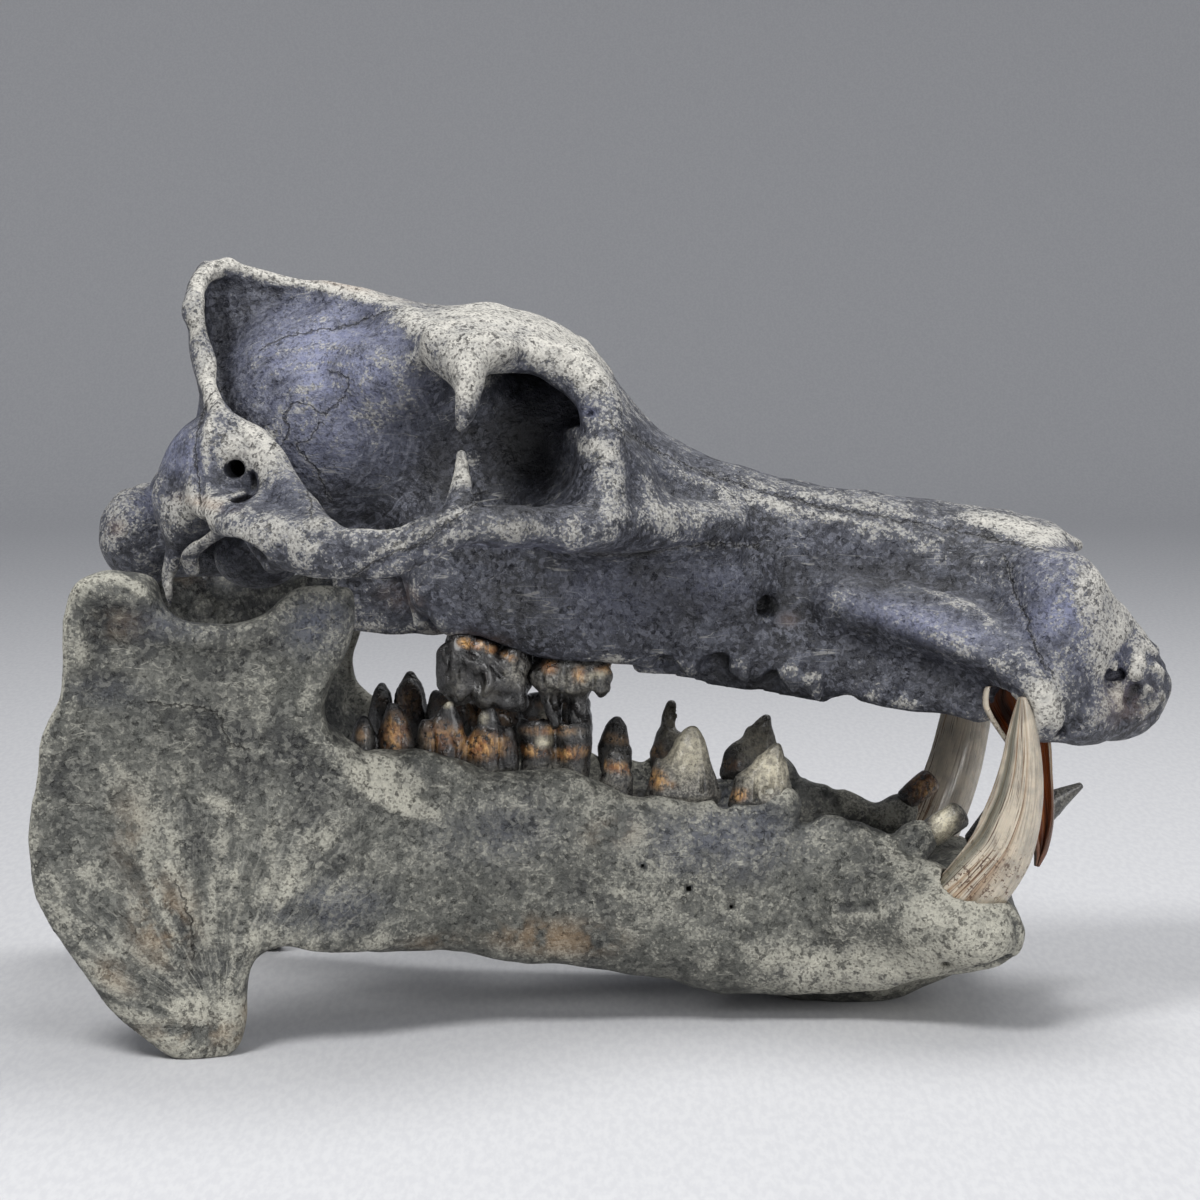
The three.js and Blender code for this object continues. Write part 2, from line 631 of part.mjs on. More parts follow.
function jawRamus(bone) {
  const out = JAW_ANGLE_HALF - 8;
  const lean = through([-240, out], [-200, out - 6], [-150, 97], [-115, 84], [-85, 68], [-40, 58]);
  const flare = through([0, 12], [60, 6], [120, 0], [200, 0]);
  bone.add(sheet('side',
    [[-226, 193], [-219, 204], [-206, 206], [-193, 200], [-180, 187], [-160, 183], [-142, 187], [-132, 196],
      [-118, 198], [-108, 196], [-108, 180], [-116, 157], [-119, 144], [-111, 129], [-88, 121], [-60, 112],
      [-60, 60], [-88, 42], [-118, 41], [-134, 45], [-146, 40], [-151, 28], [-151, 12], [-156, 2], [-170, -3],
      [-186, 2], [-208, 21], [-228, 47], [-240, 80], [-240, 110], [-235, 138], [-227, 166]],
    (x, z) => lean(x) + flare(z),
    (x, z, depth) => 8.5 - 3.5 * Math.min(depth / 26, 1)
      + 7 * Math.max(1 - Math.hypot(x + 100, z - 80) / 60, 0),
    7), 10);
  bone.add(egg([-206, 100, 194], [18, 22, 11], 10), 8);
}

function chin(bone) {
  bone.add(hull(48, 193, {
    top: through([48, 40], [70, 54], [100, 64], [140, 72], [175, 80], [193, 82]),
    bottom: through([48, 18], [70, 7], [91, 1], [123, -2.5], [150, 6], [172, 17], [193, 44]),
    wideHigh: through([48, 44], [90, 46], [130, 52], [160, 56], [193, 50]),
    wideLow: through([48, 34], [90, 28], [130, 26], [160, 34], [193, 42]),
    square: 2.3,
  }), 20);
  bone.add(bar([112, 54, 56, 15, 17], [140, 64, 55, 18, 17], [163, 73, 54, 18, 16],
    [174, 76, 50, 15, 14]), 14);
  bone.add(bar([171, 0, 58, 14, 24], [172, 40, 54, 14, 20], [166, 70, 50, 14, 16]), 12);
  bone.cut(egg([98, 0, 92], [70, 30, 24], 4), 12);
  bone.cut(egg([30, 0, 40], [44, 30, 22], -20), 10);
}

// ---------------------------------------------------------------- teeth and tusks

// A closed lofted surface: rings of points around a line, ending in a point at both ends.
function loft(start, rings, end) {
  const around = rings[0].length;
  const points = [start, ...rings.flat(), end];
  const faces = [];
  const at = (ring, step) => 1 + ring * around + (step % around);
  for (let i = 0; i < around; i += 1) {
    faces.push([0, at(0, i + 1), at(0, i)]);
    faces.push([points.length - 1, at(rings.length - 1, i), at(rings.length - 1, i + 1)]);
    for (let r = 0; r < rings.length - 1; r += 1) {
      faces.push([at(r, i), at(r, i + 1), at(r + 1, i + 1)]);
      faces.push([at(r, i), at(r + 1, i + 1), at(r + 1, i)]);
    }
  }
  return { points, faces };
}

// Each crown profile goes from the neck of the tooth to the middle of its top: [share of the size, height].
const MOLAR_PROFILE = [[0.85, -0.12], [1, 0.35], [0.96, 0.72], [0.84, 0.96], [0.5, 0.98]];
const PREMOLAR_PROFILE = [[0.9, -0.2], [1, 0.12], [0.7, 0.45], [0.25, 0.92]];

// A cheek tooth. From above it is a rounded box with a waist between its two lobes.
// up is 1 for a lower tooth and -1 for an upper one, and lean tips the point of a premolar along x.
function cheekTooth({ x, s, z, length, width, height, up, profile, cusp = 0, lean = 0 }) {
  const around = 10;
  const waist = profile === MOLAR_PROFILE ? 0.16 : 0;
  const ring = ([share, level]) => Array.from({ length: around }, (_, i) => {
    const turn = (i + 0.5) / around * 2 * Math.PI;
    const along = Math.sign(Math.cos(turn)) * Math.abs(Math.cos(turn)) ** 0.75;
    const pinch = 1 - waist * Math.exp(-((along / 0.3) ** 2));
    const across = Math.sign(Math.sin(turn)) * Math.abs(Math.sin(turn)) ** 0.75 * pinch;
    const bump = level > 0.9 ? cusp * Math.abs(along) * share : 0;
    const tall = level * height + bump;
    return [x + share * along * length / 2 + lean * Math.max(level, 0) * height, s + share * across * width / 2,
      z + up * tall];
  });
  const rings = profile.map(ring);
  const deep = [x, s, z - up * 0.25 * height];
  const top = [x + lean * height, s, z + up * height * (profile === MOLAR_PROFILE ? 0.86 : 1)];
  const tooth = loft(deep, rings, top);
  return up > 0 ? tooth : flipped(tooth);
}

const flipped = ({ points, faces }) => ({ points, faces: faces.map(([a, b, c]) => [a, c, b]) });
const mirroredY = ({ points, faces }) => flipped({ points: points.map(([x, y, z]) => [x, -y, z]), faces });

// A tusk swept along stations of [x, s, z, thickness along x, thickness across], with grow added all round.
function tusk(stations, grow = 0) {
  const around = 10;
  const line = new THREE.CatmullRomCurve3(stations.map((p) => new THREE.Vector3(p[0], p[1], p[2])));
  const steps = (stations.length - 1) * 2;
  const rings = [];
  for (let n = 0; n <= steps; n += 1) {
    const place = n / 2;
    const a = Math.min(Math.floor(place), stations.length - 2);
    const t = place - a;
    const [wide, deep] = [3, 4].map((q) => (stations[a][q] * (1 - t) + stations[a + 1][q] * t) / 2 + grow);
    const run = line.getTangent(n / steps);
    const across = new THREE.Vector3(0, 1, 0).addScaledVector(run, -run.y).normalize();
    const along = across.clone().cross(run);
    const end = n === 0 ? -1 : Number(n === steps);
    const centre = line.getPoint(n / steps).addScaledVector(run, end * grow);
    rings.push(Array.from({ length: around }, (_, i) => {
      const turn = i / around * 2 * Math.PI;
      return centre.clone()
        .addScaledVector(along, wide * Math.cos(turn))
        .addScaledVector(across, deep * Math.sin(turn) * (1 - 0.12 * Math.cos(turn)))
        .toArray();
    }));
  }
  const tip = line.getPoint(1).addScaledVector(line.getTangent(1), 1.5 + grow).toArray();
  const root = line.getPoint(0).addScaledVector(line.getTangent(0), -1.5 - grow).toArray();
  return loft(root, rings, tip);
}

const UPPER_TEETH = [
  { x: -49, s: 47, z: 172, length: 44, width: 28, height: 33, cusp: 3, profile: MOLAR_PROFILE },
  { x: -11, s: TOOTH_ROW, z: 164, length: 34, width: 26, height: 33, cusp: 2, profile: MOLAR_PROFILE },
];

const LOWER_TEETH = [
  { x: -96, s: 62, z: 122, length: 24, width: 20, height: 14, cusp: 6, profile: MOLAR_PROFILE },
  { x: -60, s: 52, z: 114, length: 43, width: 22, height: 17, cusp: 3, profile: MOLAR_PROFILE },
  { x: -21, s: TOOTH_ROW, z: 112, length: 31, width: 20, height: 22, cusp: 2, profile: MOLAR_PROFILE },
  { x: 7, s: TOOTH_ROW, z: 107, length: 16, width: 13, height: 15, lean: 0, profile: PREMOLAR_PROFILE },
  { x: 36, s: TOOTH_ROW, z: 103, length: 30, width: 15, height: 26, lean: 0.1, profile: PREMOLAR_PROFILE },
  { x: 72, s: TOOTH_ROW, z: 98, length: 26, width: 14, height: 26, lean: 0.15, profile: PREMOLAR_PROFILE },
];

// The right tusk is worn to a point, and the left one is longer.
const RIGHT_TUSK = [[136, 60, 32, 26, 20], [152, 66, 49, 32, 23], [165, 71, 68, 32, 23], [175, 76, 92, 30, 21],
  [181, 81, 118, 25, 18], [183, 85, 137, 16, 13], [182, 87, 151, 4, 5]];
const LEFT_TUSK = [[132, 60, 34, 26, 20], [146, 66, 50, 30, 23], [157, 71, 70, 31, 23], [166, 76, 94, 29, 21],
  [173, 80, 120, 27, 18], [178, 83, 142, 24, 15], [180, 85, 156, 8, 7]];
const UPPER_CANINE = [[183, 72, 162, 34, 18], [186, 69, 147, 30, 17], [189, 66, 130, 22, 14],
  [191, 61, 112, 16, 11], [192, 57, 90, 11, 8], [190, 53, 68, 4, 4]];
const CANINE_HOLLOW = [[181, 79, 168, 26, 16], [185, 76, 150, 23, 15], [189, 71, 132, 14, 11],
  [191, 66, 114, 7, 6]];
// Broken front teeth, as [x, y, z, thickness, thickness] stations. y is minus on the right side.
const INCISORS = [
  [[140, -42, 76, 14, 14], [152, -43, 80, 14, 14], [163, -43, 83, 13, 13]],
  [[138, 42, 82, 14, 14], [148, 43, 88, 13, 13], [157, 43, 93, 11, 11]],
  [[178, -16, 72, 17, 15], [196, -15, 82, 17, 14], [210, -14, 90, 11, 9], [221, -14, 96, 3, 3]],
  [[178, 18, 74, 16, 14], [190, 20, 90, 15, 13], [197, 21, 102, 9, 8]],
];

// ---------------------------------------------------------------- fitting together

// A block that covers everything under a height, or over it when up is true.
function block(height, up) {
  const size = 400;
  const geometry = new THREE.BoxGeometry(2 * size, 2 * size, size);
  geometry.translate(0, 0, height + (up ? size : -size) / 2);
  return solidOfGeometry(geometry);
}

function withTeeth(bone, teeth, up, trim) {
  let solid = bone;
  for (const tooth of teeth) {
    const right = solidOf(mirroredY(cheekTooth({ ...tooth, up })));
    const left = solidOf(cheekTooth({ ...tooth, up }));
    solid = solid.add(right.subtract(trim)).add(left.subtract(trim));
  }
  return solid;
}

function meshOf(name, solid, color, roughness) {
  const { vertProperties, triVerts } = solid.getMesh();
  const geometry = new THREE.BufferGeometry();
  geometry.setAttribute('position', new THREE.BufferAttribute(new Float32Array(vertProperties), 3));
  geometry.setIndex(new THREE.BufferAttribute(new Uint32Array(triVerts), 1));
  geometry.computeVertexNormals();
  const mesh = new THREE.Mesh(geometry, new THREE.MeshStandardMaterial({ color, roughness, metalness: 0 }));
  mesh.name = name;
  return mesh;
}

const tusks = {
  tusk_lower_right: (grow) => solidOf(mirroredY(tusk(RIGHT_TUSK, grow))),
  tusk_lower_left: (grow) => solidOf(tusk(LEFT_TUSK, grow)),
};

function jawSolid() {
  const bone = solidOf(thin(largestPiece(skin(mandibleField())), MANDIBLE_FACES));
  let solid = withTeeth(bone, LOWER_TEETH, 1, block(BITE, true));
  for (const stations of INCISORS) solid = solid.add(solidOf(tusk(stations)));
  for (const grown of Object.values(tusks)) solid = solid.subtract(grown(SEAT_GAP));
  return solid.subtract(block(0, false));
}

function craniumSolid(upperCanine) {
  const bone = solidOf(thin(largestPiece(skin(craniumField())), CRANIUM_FACES));
  let solid = withTeeth(bone, UPPER_TEETH, -1, block(BITE + SEAT_GAP, false));
  for (const grown of Object.values(tusks)) solid = solid.subtract(grown(SEAT_GAP));
  return solid.subtract(upperCanine(SEAT_GAP));
}

const outerCanine = (grow) => solidOf(mirroredY(tusk(UPPER_CANINE, grow)));
const canine = outerCanine(0).subtract(solidOf(mirroredY(tusk(CANINE_HOLLOW))));

const skull = new THREE.Group();
skull.position.x = -CENTRE_X;
skull.add(meshOf('cranium', craniumSolid(outerCanine), 0x6f7278, 0.85));
skull.add(meshOf('mandible', jawSolid(), 0x74776c, 0.85));
skull.add(meshOf('canine_upper_right', canine, 0x8a4a1c, 0.5));
for (const [name, grown] of Object.entries(tusks)) skull.add(meshOf(name, grown(0), 0xd8c8a8, 0.4));

export default skull;
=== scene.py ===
# %% [markdown]
# # The fossil skull of a dwarf hippopotamus
# A museum skull is a few bones and many teeth: the cranium, the lower jaw, the cheek teeth and the
# tusks. Blender could start such a shape from a sculpt or from a scan. Here every form is written as
# numbers instead, so that each ridge and hollow has a name and a size that can be changed. The first
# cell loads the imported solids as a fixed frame: they say where each piece goes, in metres, +X towards
# the muzzle, +Z up, and the right side of the skull towards -Y.

# %% Load the frame
import math
import time
from functools import partial

import bpy
import numpy as np
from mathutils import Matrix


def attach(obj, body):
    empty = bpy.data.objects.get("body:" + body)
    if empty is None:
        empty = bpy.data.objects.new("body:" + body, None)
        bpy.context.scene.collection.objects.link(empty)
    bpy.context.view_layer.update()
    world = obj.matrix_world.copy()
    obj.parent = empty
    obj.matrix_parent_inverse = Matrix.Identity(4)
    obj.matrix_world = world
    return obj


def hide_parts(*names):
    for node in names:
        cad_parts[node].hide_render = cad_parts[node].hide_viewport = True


started = time.time()
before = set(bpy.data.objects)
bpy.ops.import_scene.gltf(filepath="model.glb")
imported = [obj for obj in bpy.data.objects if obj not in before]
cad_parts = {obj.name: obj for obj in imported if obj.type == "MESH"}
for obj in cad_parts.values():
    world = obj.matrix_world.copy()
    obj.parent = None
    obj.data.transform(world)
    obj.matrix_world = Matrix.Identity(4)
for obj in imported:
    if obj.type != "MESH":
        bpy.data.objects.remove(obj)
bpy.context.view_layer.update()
MM = 0.001
CENTRE_X = 6.5             # mm from the origin of the sizes below to the middle of the skull

# %% [markdown]
# ## Smooth curves and smooth joins
# Bone has no corners: one form runs into the next. Two small tools give that. `through` draws a curve
# through a few measured heights and never overshoots them, which a plain spline does. `soft_min` joins
# two depths with a fillet of a chosen width, which is how a sculptor's clay pieces melt together.

# %% Curves and fillets
def soft_min(a, b, k):
    """The smaller of a and b, rounded where they differ by less than k: min - k/4 * (1 - |a-b|/k)^2."""
    h = np.maximum(k - np.abs(a - b), 0) / k
    return np.minimum(a, b) - h * h * k / 4


def soft_max(a, b, k):
    """The larger of a and b, rounded in the same way."""
    return -soft_min(-a, -b, k)


def smooth_step(low, high, x):
    """0 below low, 1 above high, and 3t^2 - 2t^3 between them."""
    t = np.clip((x - low) / (high - low), 0, 1)
    return t * t * (3 - 2 * t)


def through(*knots):
    """A curve through (x, value) knots: cubic pieces whose slopes are harmonic means, flat outside."""
    xs, vs = np.array(knots, float).T
    slope = np.diff(vs) / np.diff(xs)
    before, after = slope[:-1], slope[1:]
    same_way = before * after > 0
    inner = np.where(same_way, 2 * before * after / np.where(same_way, before + after, 1), 0)
    tangent = np.concatenate([slope[:1], inner, slope[-1:]])

    def curve(x):
        i = np.clip(np.searchsorted(xs, x) - 1, 0, len(xs) - 2)
        width = xs[i + 1] - xs[i]
        t = np.clip((x - xs[i]) / width, 0, 1)
        rise = t * t * (3 - 2 * t)
        bend = t * (1 - t) ** 2 * tangent[i] - t * t * (1 - t) * tangent[i + 1]
        return vs[i] * (1 - rise) + vs[i + 1] * rise + width * bend

    return curve


def smooth_path(points, closed=False, steps=4):
    """A centripetal Catmull-Rom curve through the points: knots spaced by the root of their distance."""
    p = np.array(points, float)
    if closed:
        p = np.concatenate([p[-1:], p, p[:2]])
    else:
        p = np.concatenate([2 * p[:1] - p[1:2], p, 2 * p[-1:] - p[-2:-1]])
    p0, p1, p2, p3 = (p[i:len(p) - 3 + i][:, None, :] for i in range(4))
    d0, d1, d2 = (np.maximum(np.linalg.norm(b - a, axis=2, keepdims=True), 1e-6) ** 0.5
                  for a, b in ((p0, p1), (p1, p2), (p2, p3)))
    m1 = ((p1 - p0) / d0 - (p2 - p0) / (d0 + d1) + (p2 - p1) / d1) * d1
    m2 = ((p2 - p1) / d1 - (p3 - p1) / (d1 + d2) + (p3 - p2) / d2) * d1
    t = (np.arange(steps) / steps)[None, :, None]
    curve = p1 + m1 * t + (3 * (p2 - p1) - 2 * m1 - m2) * t ** 2 + (2 * (p1 - p2) + m1 + m2) * t ** 3
    curve = curve.reshape(-1, p.shape[1])
    return curve if closed else np.concatenate([curve, p[-2:-1]])


print("1 and 2 joined with a fillet of 4 give", soft_min(1.0, 2.0, 4.0))

# %% [markdown]
# ## A bone as a field of depths
# A skull has holes, struts and undercuts, so no single grid of two parameters can wrap it. The usual
# ways are sculpting, or boolean joins of meshes that leave hard seams. This lesson uses a field: a box
# of points, each holding how far it lies outside the bone (plus) or inside it (minus). Adding a form
# takes the soft minimum, hollowing takes the soft maximum, and the bone's skin is where the number is
# zero. All points are worked out at once as whole numpy arrays.

# %% The field
GRID = 1.7        # mm between the points of the fields
FAR = 60.0                               # mm, the depth of a point that no form has reached


class Bone:
    """A box of depths. It starts as one half, where s is the distance from the midline."""

    def __init__(self, low, high, step=GRID):
        self.step = step
        self.axes = [np.arange(a, b + step, step) for a, b in zip(low, high)]
        self.depth = np.full([len(a) for a in self.axes], FAR, np.float32)

    def region(self, low, high):
        """The slices that hold the box from low to high."""
        return tuple(slice(int(np.searchsorted(a, lo)), int(np.searchsorted(a, hi, side="right")))
                     for a, lo, hi in zip(self.axes, low, high))

    def grid(self, block):
        """The three coordinates of a block's points, shaped so that they combine by broadcasting."""
        x, s, z = (a[b] for a, b in zip(self.axes, block))
        return x[:, None, None], s[None, :, None], z[None, None, :]

    def change(self, shape, blend, mix):
        """Mixes a form into the points that it and its fillet reach."""
        pad = blend + 5 * self.step
        block = self.region(shape["low"] - pad, shape["high"] + pad)
        if min(b.stop - b.start for b in block) > 0:
            self.depth[block] = mix(self.depth[block], shape["depth"](*self.grid(block)), blend)

    def add(self, shape, blend=8):
        """Joins a form on, with a fillet of blend mm."""
        self.change(shape, blend, soft_min)

    def cut(self, shape, blend=4):
        """Hollows a form out, with its lip rounded by blend mm."""
        self.change(shape, blend, lambda old, hollow, k: soft_max(old, -hollow, k))

    def mirror(self):
        """Copies the half to the right side. The second axis is y from here on, minus on the right."""
        self.depth = np.concatenate([self.depth[:, :0:-1], self.depth], axis=1)
        self.axes[1] = np.concatenate([-self.axes[1][:0:-1], self.axes[1]])


print("a field has a point every", GRID, "mm")

# %% [markdown]
# ## Four kinds of form
# Nearly all of a skull can be said with four forms: an egg for a swelling or a hollow, a bar for a
# strut such as the cheek arch, a sheet for a flat plate such as the jaw's upright, and a hull for the
# long muzzle. Each returns the box it reaches and a function that gives the depth at any point.

# %% Eggs and bars
def egg(centre, radii, pitch=0, yaw=0):
    """An ellipsoid turned nose-up and outwards: size * (size - 1) / slope, where size is |p / radii|."""
    centre, radii = np.array(centre, float), np.array(radii, float)
    p, w = math.radians(pitch), math.radians(yaw)
    turn = np.array([[math.cos(p) * math.cos(w), math.cos(p) * math.sin(w), math.sin(p)],
                     [-math.sin(w), math.cos(w), 0],
                     [-math.sin(p) * math.cos(w), -math.sin(p) * math.sin(w), math.cos(p)]])
    reach = np.sqrt(((turn * radii[:, None]) ** 2).sum(0))

    def depth(x, s, z):
        local = [a[0] * (x - centre[0]) + a[1] * (s - centre[1]) + a[2] * (z - centre[2]) for a in turn]
        size = np.sqrt(sum((q / r) ** 2 for q, r in zip(local, radii)))
        slope = np.sqrt(sum((q / r ** 2) ** 2 for q, r in zip(local, radii)))
        return size * (size - 1) / (slope + 1e-9)

    return {"low": centre - reach, "high": centre + reach, "depth": depth}


def span_depth(a, b, x, s, z):
    """Depth in one straight span of a bar: an ellipsoidal section that is carried from a to b."""
    run = b[:3] - a[:3]
    length = np.linalg.norm(run)
    run = run / length
    side = np.array([-run[1], run[0], 0.0])
    side = side / np.linalg.norm(side) if np.linalg.norm(side) > 1e-3 else np.array([0.0, 1.0, 0.0])
    up = np.cross(run, side)
    d = [x - a[0], s - a[1], z - a[2]]
    t = np.clip((d[0] * run[0] + d[1] * run[1] + d[2] * run[2]) / length, 0, 1)
    wide, tall = a[3] + (b[3] - a[3]) * t, a[4] + (b[4] - a[4]) * t
    rest = [d[i] - t * length * run[i] for i in range(3)]
    across, over, along = (rest[0] * v[0] + rest[1] * v[1] + rest[2] * v[2] for v in (side, up, run))
    thin = np.minimum(wide, tall)
    size = np.sqrt((across / wide) ** 2 + (over / tall) ** 2 + (along / thin) ** 2)
    slope = np.sqrt((across / wide ** 2) ** 2 + (over / tall ** 2) ** 2 + (along / thin ** 2) ** 2)
    return np.where(size < 1e-3, -thin, size * (size - 1) / (slope + 1e-9))


def bar(*stations):
    """A strut along a smooth path of (x, s, z, half width, half height) stations."""
    stations = np.array(stations, float)
    line = smooth_path(stations[:, :3])
    place = np.linspace(0, len(stations) - 1, len(line))
    sizes = [np.interp(place, np.arange(len(stations)), stations[:, i]) for i in (3, 4)]
    knots = np.column_stack([line, *sizes])
    fat = stations[:, 3:].max()
    pad = fat + 20

    def depth(x, s, z):
        best = np.full(np.broadcast(x, s, z).shape, FAR)
        for a, b in zip(knots[:-1], knots[1:]):
            low, high = np.minimum(a, b)[:3] - pad, np.maximum(a, b)[:3] + pad
            near = tuple(slice(int(np.searchsorted(q.ravel(), lo)), int(np.searchsorted(q.ravel(), hi)))
                         for q, lo, hi in zip((x, s, z), low, high))
            local = x[near[0]], s[:, near[1]], z[:, :, near[2]]
            best[near] = np.minimum(best[near], span_depth(a, b, *local))
        return best

    return {"low": line.min(0) - fat, "high": line.max(0) + fat, "depth": depth}


tilted = egg((0, 0, 0), (30, 10, 10), pitch=45)
print("an egg 60 mm long, tilted by 45 degrees, reaches", np.round(tilted["high"] - tilted["low"], 1), "mm")

# %% [markdown]
# The flat and the long forms come from outlines. A sheet is an outline seen from the side, the back or
# the top, with a thickness across it, much as a plate is sawn from a board. A hull takes its top, its
# floor and its breadths as curves, as a boat does, because the muzzle changes its section all the way.

# %% Sheets and hulls
PLANES = {"side": (0, 2, 1), "back": (1, 2, 0), "top": (0, 1, 2)}


def edge_depth(ring, u, v):
    """Signed distance to a closed outline: the nearest edge, minus where a ray crosses an odd count."""
    near = np.full(np.broadcast(u, v).shape, 1e12)
    inside = np.zeros(near.shape, bool)
    for p, q in zip(ring, np.roll(ring, -1, axis=0)):
        e = q - p
        t = np.clip(((u - p[0]) * e[0] + (v - p[1]) * e[1]) / (e @ e), 0, 1)
        near = np.minimum(near, (u - p[0] - t * e[0]) ** 2 + (v - p[1] - t * e[1]) ** 2)
        if p[1] != q[1]:
            inside ^= ((p[1] > v) != (q[1] > v)) & (u < e[0] * (v - p[1]) / e[1] + p[0])
    return np.where(inside, -1, 1) * np.sqrt(near)


def sheet(plane, outline, middle, half, rounding=6):
    """A plate: its outline in one plane, and its middle and half thickness across that plane."""
    a, b, c = PLANES[plane]
    ring = smooth_path(outline, closed=True)
    level = middle(ring[:, 0], ring[:, 1]) + np.zeros(len(ring))
    low, high = np.zeros(3), np.zeros(3)
    low[[a, b]], high[[a, b]] = ring.min(0), ring.max(0)
    low[c], high[c] = level.min() - 20, level.max() + 20

    def depth(*point):
        u, v = point[a], point[b]
        edge = edge_depth(ring, u, v)
        across = np.abs(point[c] - middle(u, v)) - half(u, v, np.maximum(-edge, 0))
        return soft_max(edge, across, rounding)

    return {"low": low, "high": high, "depth": depth}


def hull(start, end, top, bottom, wide_high, wide_low, square=2.6, middle=lambda x: 0 * x):
    """A long body with a rounded-box section: |s/wide|^square + |height|^square = 1."""
    samples = np.linspace(start, end, 21)
    widest = (np.maximum(wide_high(samples), wide_low(samples)) + middle(samples)).max()

    def depth(x, s, z):
        at = np.clip(x, start, end)
        tall = (top(at) - bottom(at)) / 2
        v = (z - bottom(at)) / tall - 1
        share = smooth_step(-1, 1, v)
        wide = wide_low(at) * (1 - share) + wide_high(at) * share
        size = (np.abs((s - middle(at)) / wide) ** square + np.abs(v) ** square) ** (1 / square)
        return soft_max((size - 1) * np.minimum(wide, tall), np.maximum(start - x, x - end), 10)

    return {"low": np.array([start, 0, bottom(samples).min()]),
            "high": np.array([end, widest, top(samples).max()]), "depth": depth}


square = np.array([(0, 0), (10, 0), (10, 10), (0, 10)], float)
print("the middle of a 10 mm square lies", edge_depth(square, 5.0, 5.0), "mm outside its edge")

# %% [markdown]
# ## Relief
# Even a smooth bone is never quite even, and where one has broken it is ragged. Both come from noise
# added to the depth before the skin is made, so that the relief is real shape. The noise is a coarse
# grid of seeded random numbers, drawn finer by a cubic curve along each axis in turn.

# %% Noise in a field
def spline_weights(axis, cell):
    """How much each knot of a cubic B-spline with knots a cell apart counts at each point of an axis."""
    place = (axis - axis[0]) / cell
    first = np.floor(place).astype(int)
    t = place - first
    weights = np.zeros((len(axis), first.max() + 4))
    shares = ((1 - t) ** 3, 3 * t ** 3 - 6 * t ** 2 + 4, -3 * t ** 3 + 3 * t ** 2 + 3 * t + 1, t ** 3)
    for i, share in enumerate(shares):
        weights[np.arange(len(axis)), first + i] = share / 6
    return weights


def noise(axes, cell, seed):
    """Smooth noise of about unit size: random knots times the spline weights of the three axes."""
    wx, wy, wz = (spline_weights(a, cell) for a in axes)
    knots = np.random.default_rng(seed).standard_normal((wx.shape[1], wy.shape[1], wz.shape[1]))
    partly = np.tensordot(wx, knots, (1, 0))
    partly = np.einsum("bj,ajk->abk", wy, partly, optimize=True)
    return 3 * np.einsum("ck,abk->abc", wz, partly, optimize=True)


def spot(x, y, z, centre, radii, tilt=0):
    """1 at the centre, 0 beyond the radii, smooth between; y is taken from the midline. tilt in degrees."""
    c, s = math.cos(math.radians(tilt)), math.sin(math.radians(tilt))
    dx, dz = x - centre[0], z - centre[2]
    along, up = (c * dx + s * dz) / radii[0], (c * dz - s * dx) / radii[2]
    out = (y - centre[1]) / radii[1]
    return smooth_step(1, 0, np.sqrt(along ** 2 + out ** 2 + up ** 2))


def roughen(bone, cell, size, seed, places=None, only_away=False):
    """
    Adds noise of a size in mm to the depth, everywhere or only within (centre, radii, side) places. side
    is -1 or 1 for one side and 0 for both. only_away keeps the noise that takes bone away.
    """
    x, y, z = bone.grid((slice(None),) * 3)
    amount = noise(bone.axes, cell, seed) * size
    if only_away:
        amount = np.maximum(amount, 0)
    if places:
        mask = np.zeros(bone.depth.shape, np.float32)
        for centre, radii, side in places:
            out = y * side if side else np.abs(y)
            mask = np.maximum(mask, spot(x, out, z, centre, radii))
        amount = amount * mask
    bone.depth = bone.depth + amount.astype(np.float32)

# %% [markdown]
# A seam between two bones, a scar where a muscle pulled, a rope of bone along an edge: each is a line
# seen from the side, raised or sunk by a millimetre or so. The depth changes by the size on the line
# and fades on both sides like a bell.

# %% Raised and sunken lines
def crease(bone, line, width, size, out=(0, 200)):
    """
    Takes size * exp(-(distance / width)^2) off the depth near a line of (x, z), where |y| lies within
    out. A size below 0 sinks a groove.
    """
    line = smooth_path(line, steps=4)
    low, high = line.min(0) - 2.5 * width, line.max(0) + 2.5 * width
    limits = ((low[0], high[0]), (-200, 200), (low[1], high[1]))
    block = tuple(slice(*np.searchsorted(axis, ends)) for axis, ends in zip(bone.axes, limits))
    x, y, z = bone.grid(block)
    x, z = x[:, 0, 0][:, None], z[0, 0, :][None, :]
    nearest = np.full((x.shape[0], z.shape[1]), 1e3)
    run = np.zeros_like(nearest)
    for number, (a, b) in enumerate(zip(line[:-1], line[1:])):
        e = b - a
        t = np.clip(((x - a[0]) * e[0] + (z - a[1]) * e[1]) / (e @ e), 0, 1)
        away = np.hypot(x - a[0] - t * e[0], z - a[1] - t * e[1])
        run = np.where(away < nearest, (number + t) / (len(line) - 1), run)
        nearest = np.minimum(nearest, away)
    fade = smooth_step(0, 0.12, run) * smooth_step(1, 0.88, run)
    amount = (size * np.exp(-(nearest / width) ** 2) * fade)[:, None, :]
    side = np.abs(y)
    within = smooth_step(out[0] - 4, out[0], side) * smooth_step(out[1] + 4, out[1], side)
    bone.depth[block] -= (amount * within).astype(np.float32)

# %% [markdown]
# ## The cranium's forms
# Half of the cranium is laid down form by form, in the order an anatomist names them: the muzzle with
# its tooth ridge and canine swelling, the braincase with its crests, the forehead over the orbits, the
# cheek arch, and the base with the condyles. Sizes are millimetres: x along the skull, s out from the
# midline, z above the table.

# %% Muzzle
CREST_TOP = 338            # highest point of the crest above the table
CANINE_HALF = 86           # half breadth over the upper canine sockets
ARCH_HALF = 144            # half breadth over the cheek arches

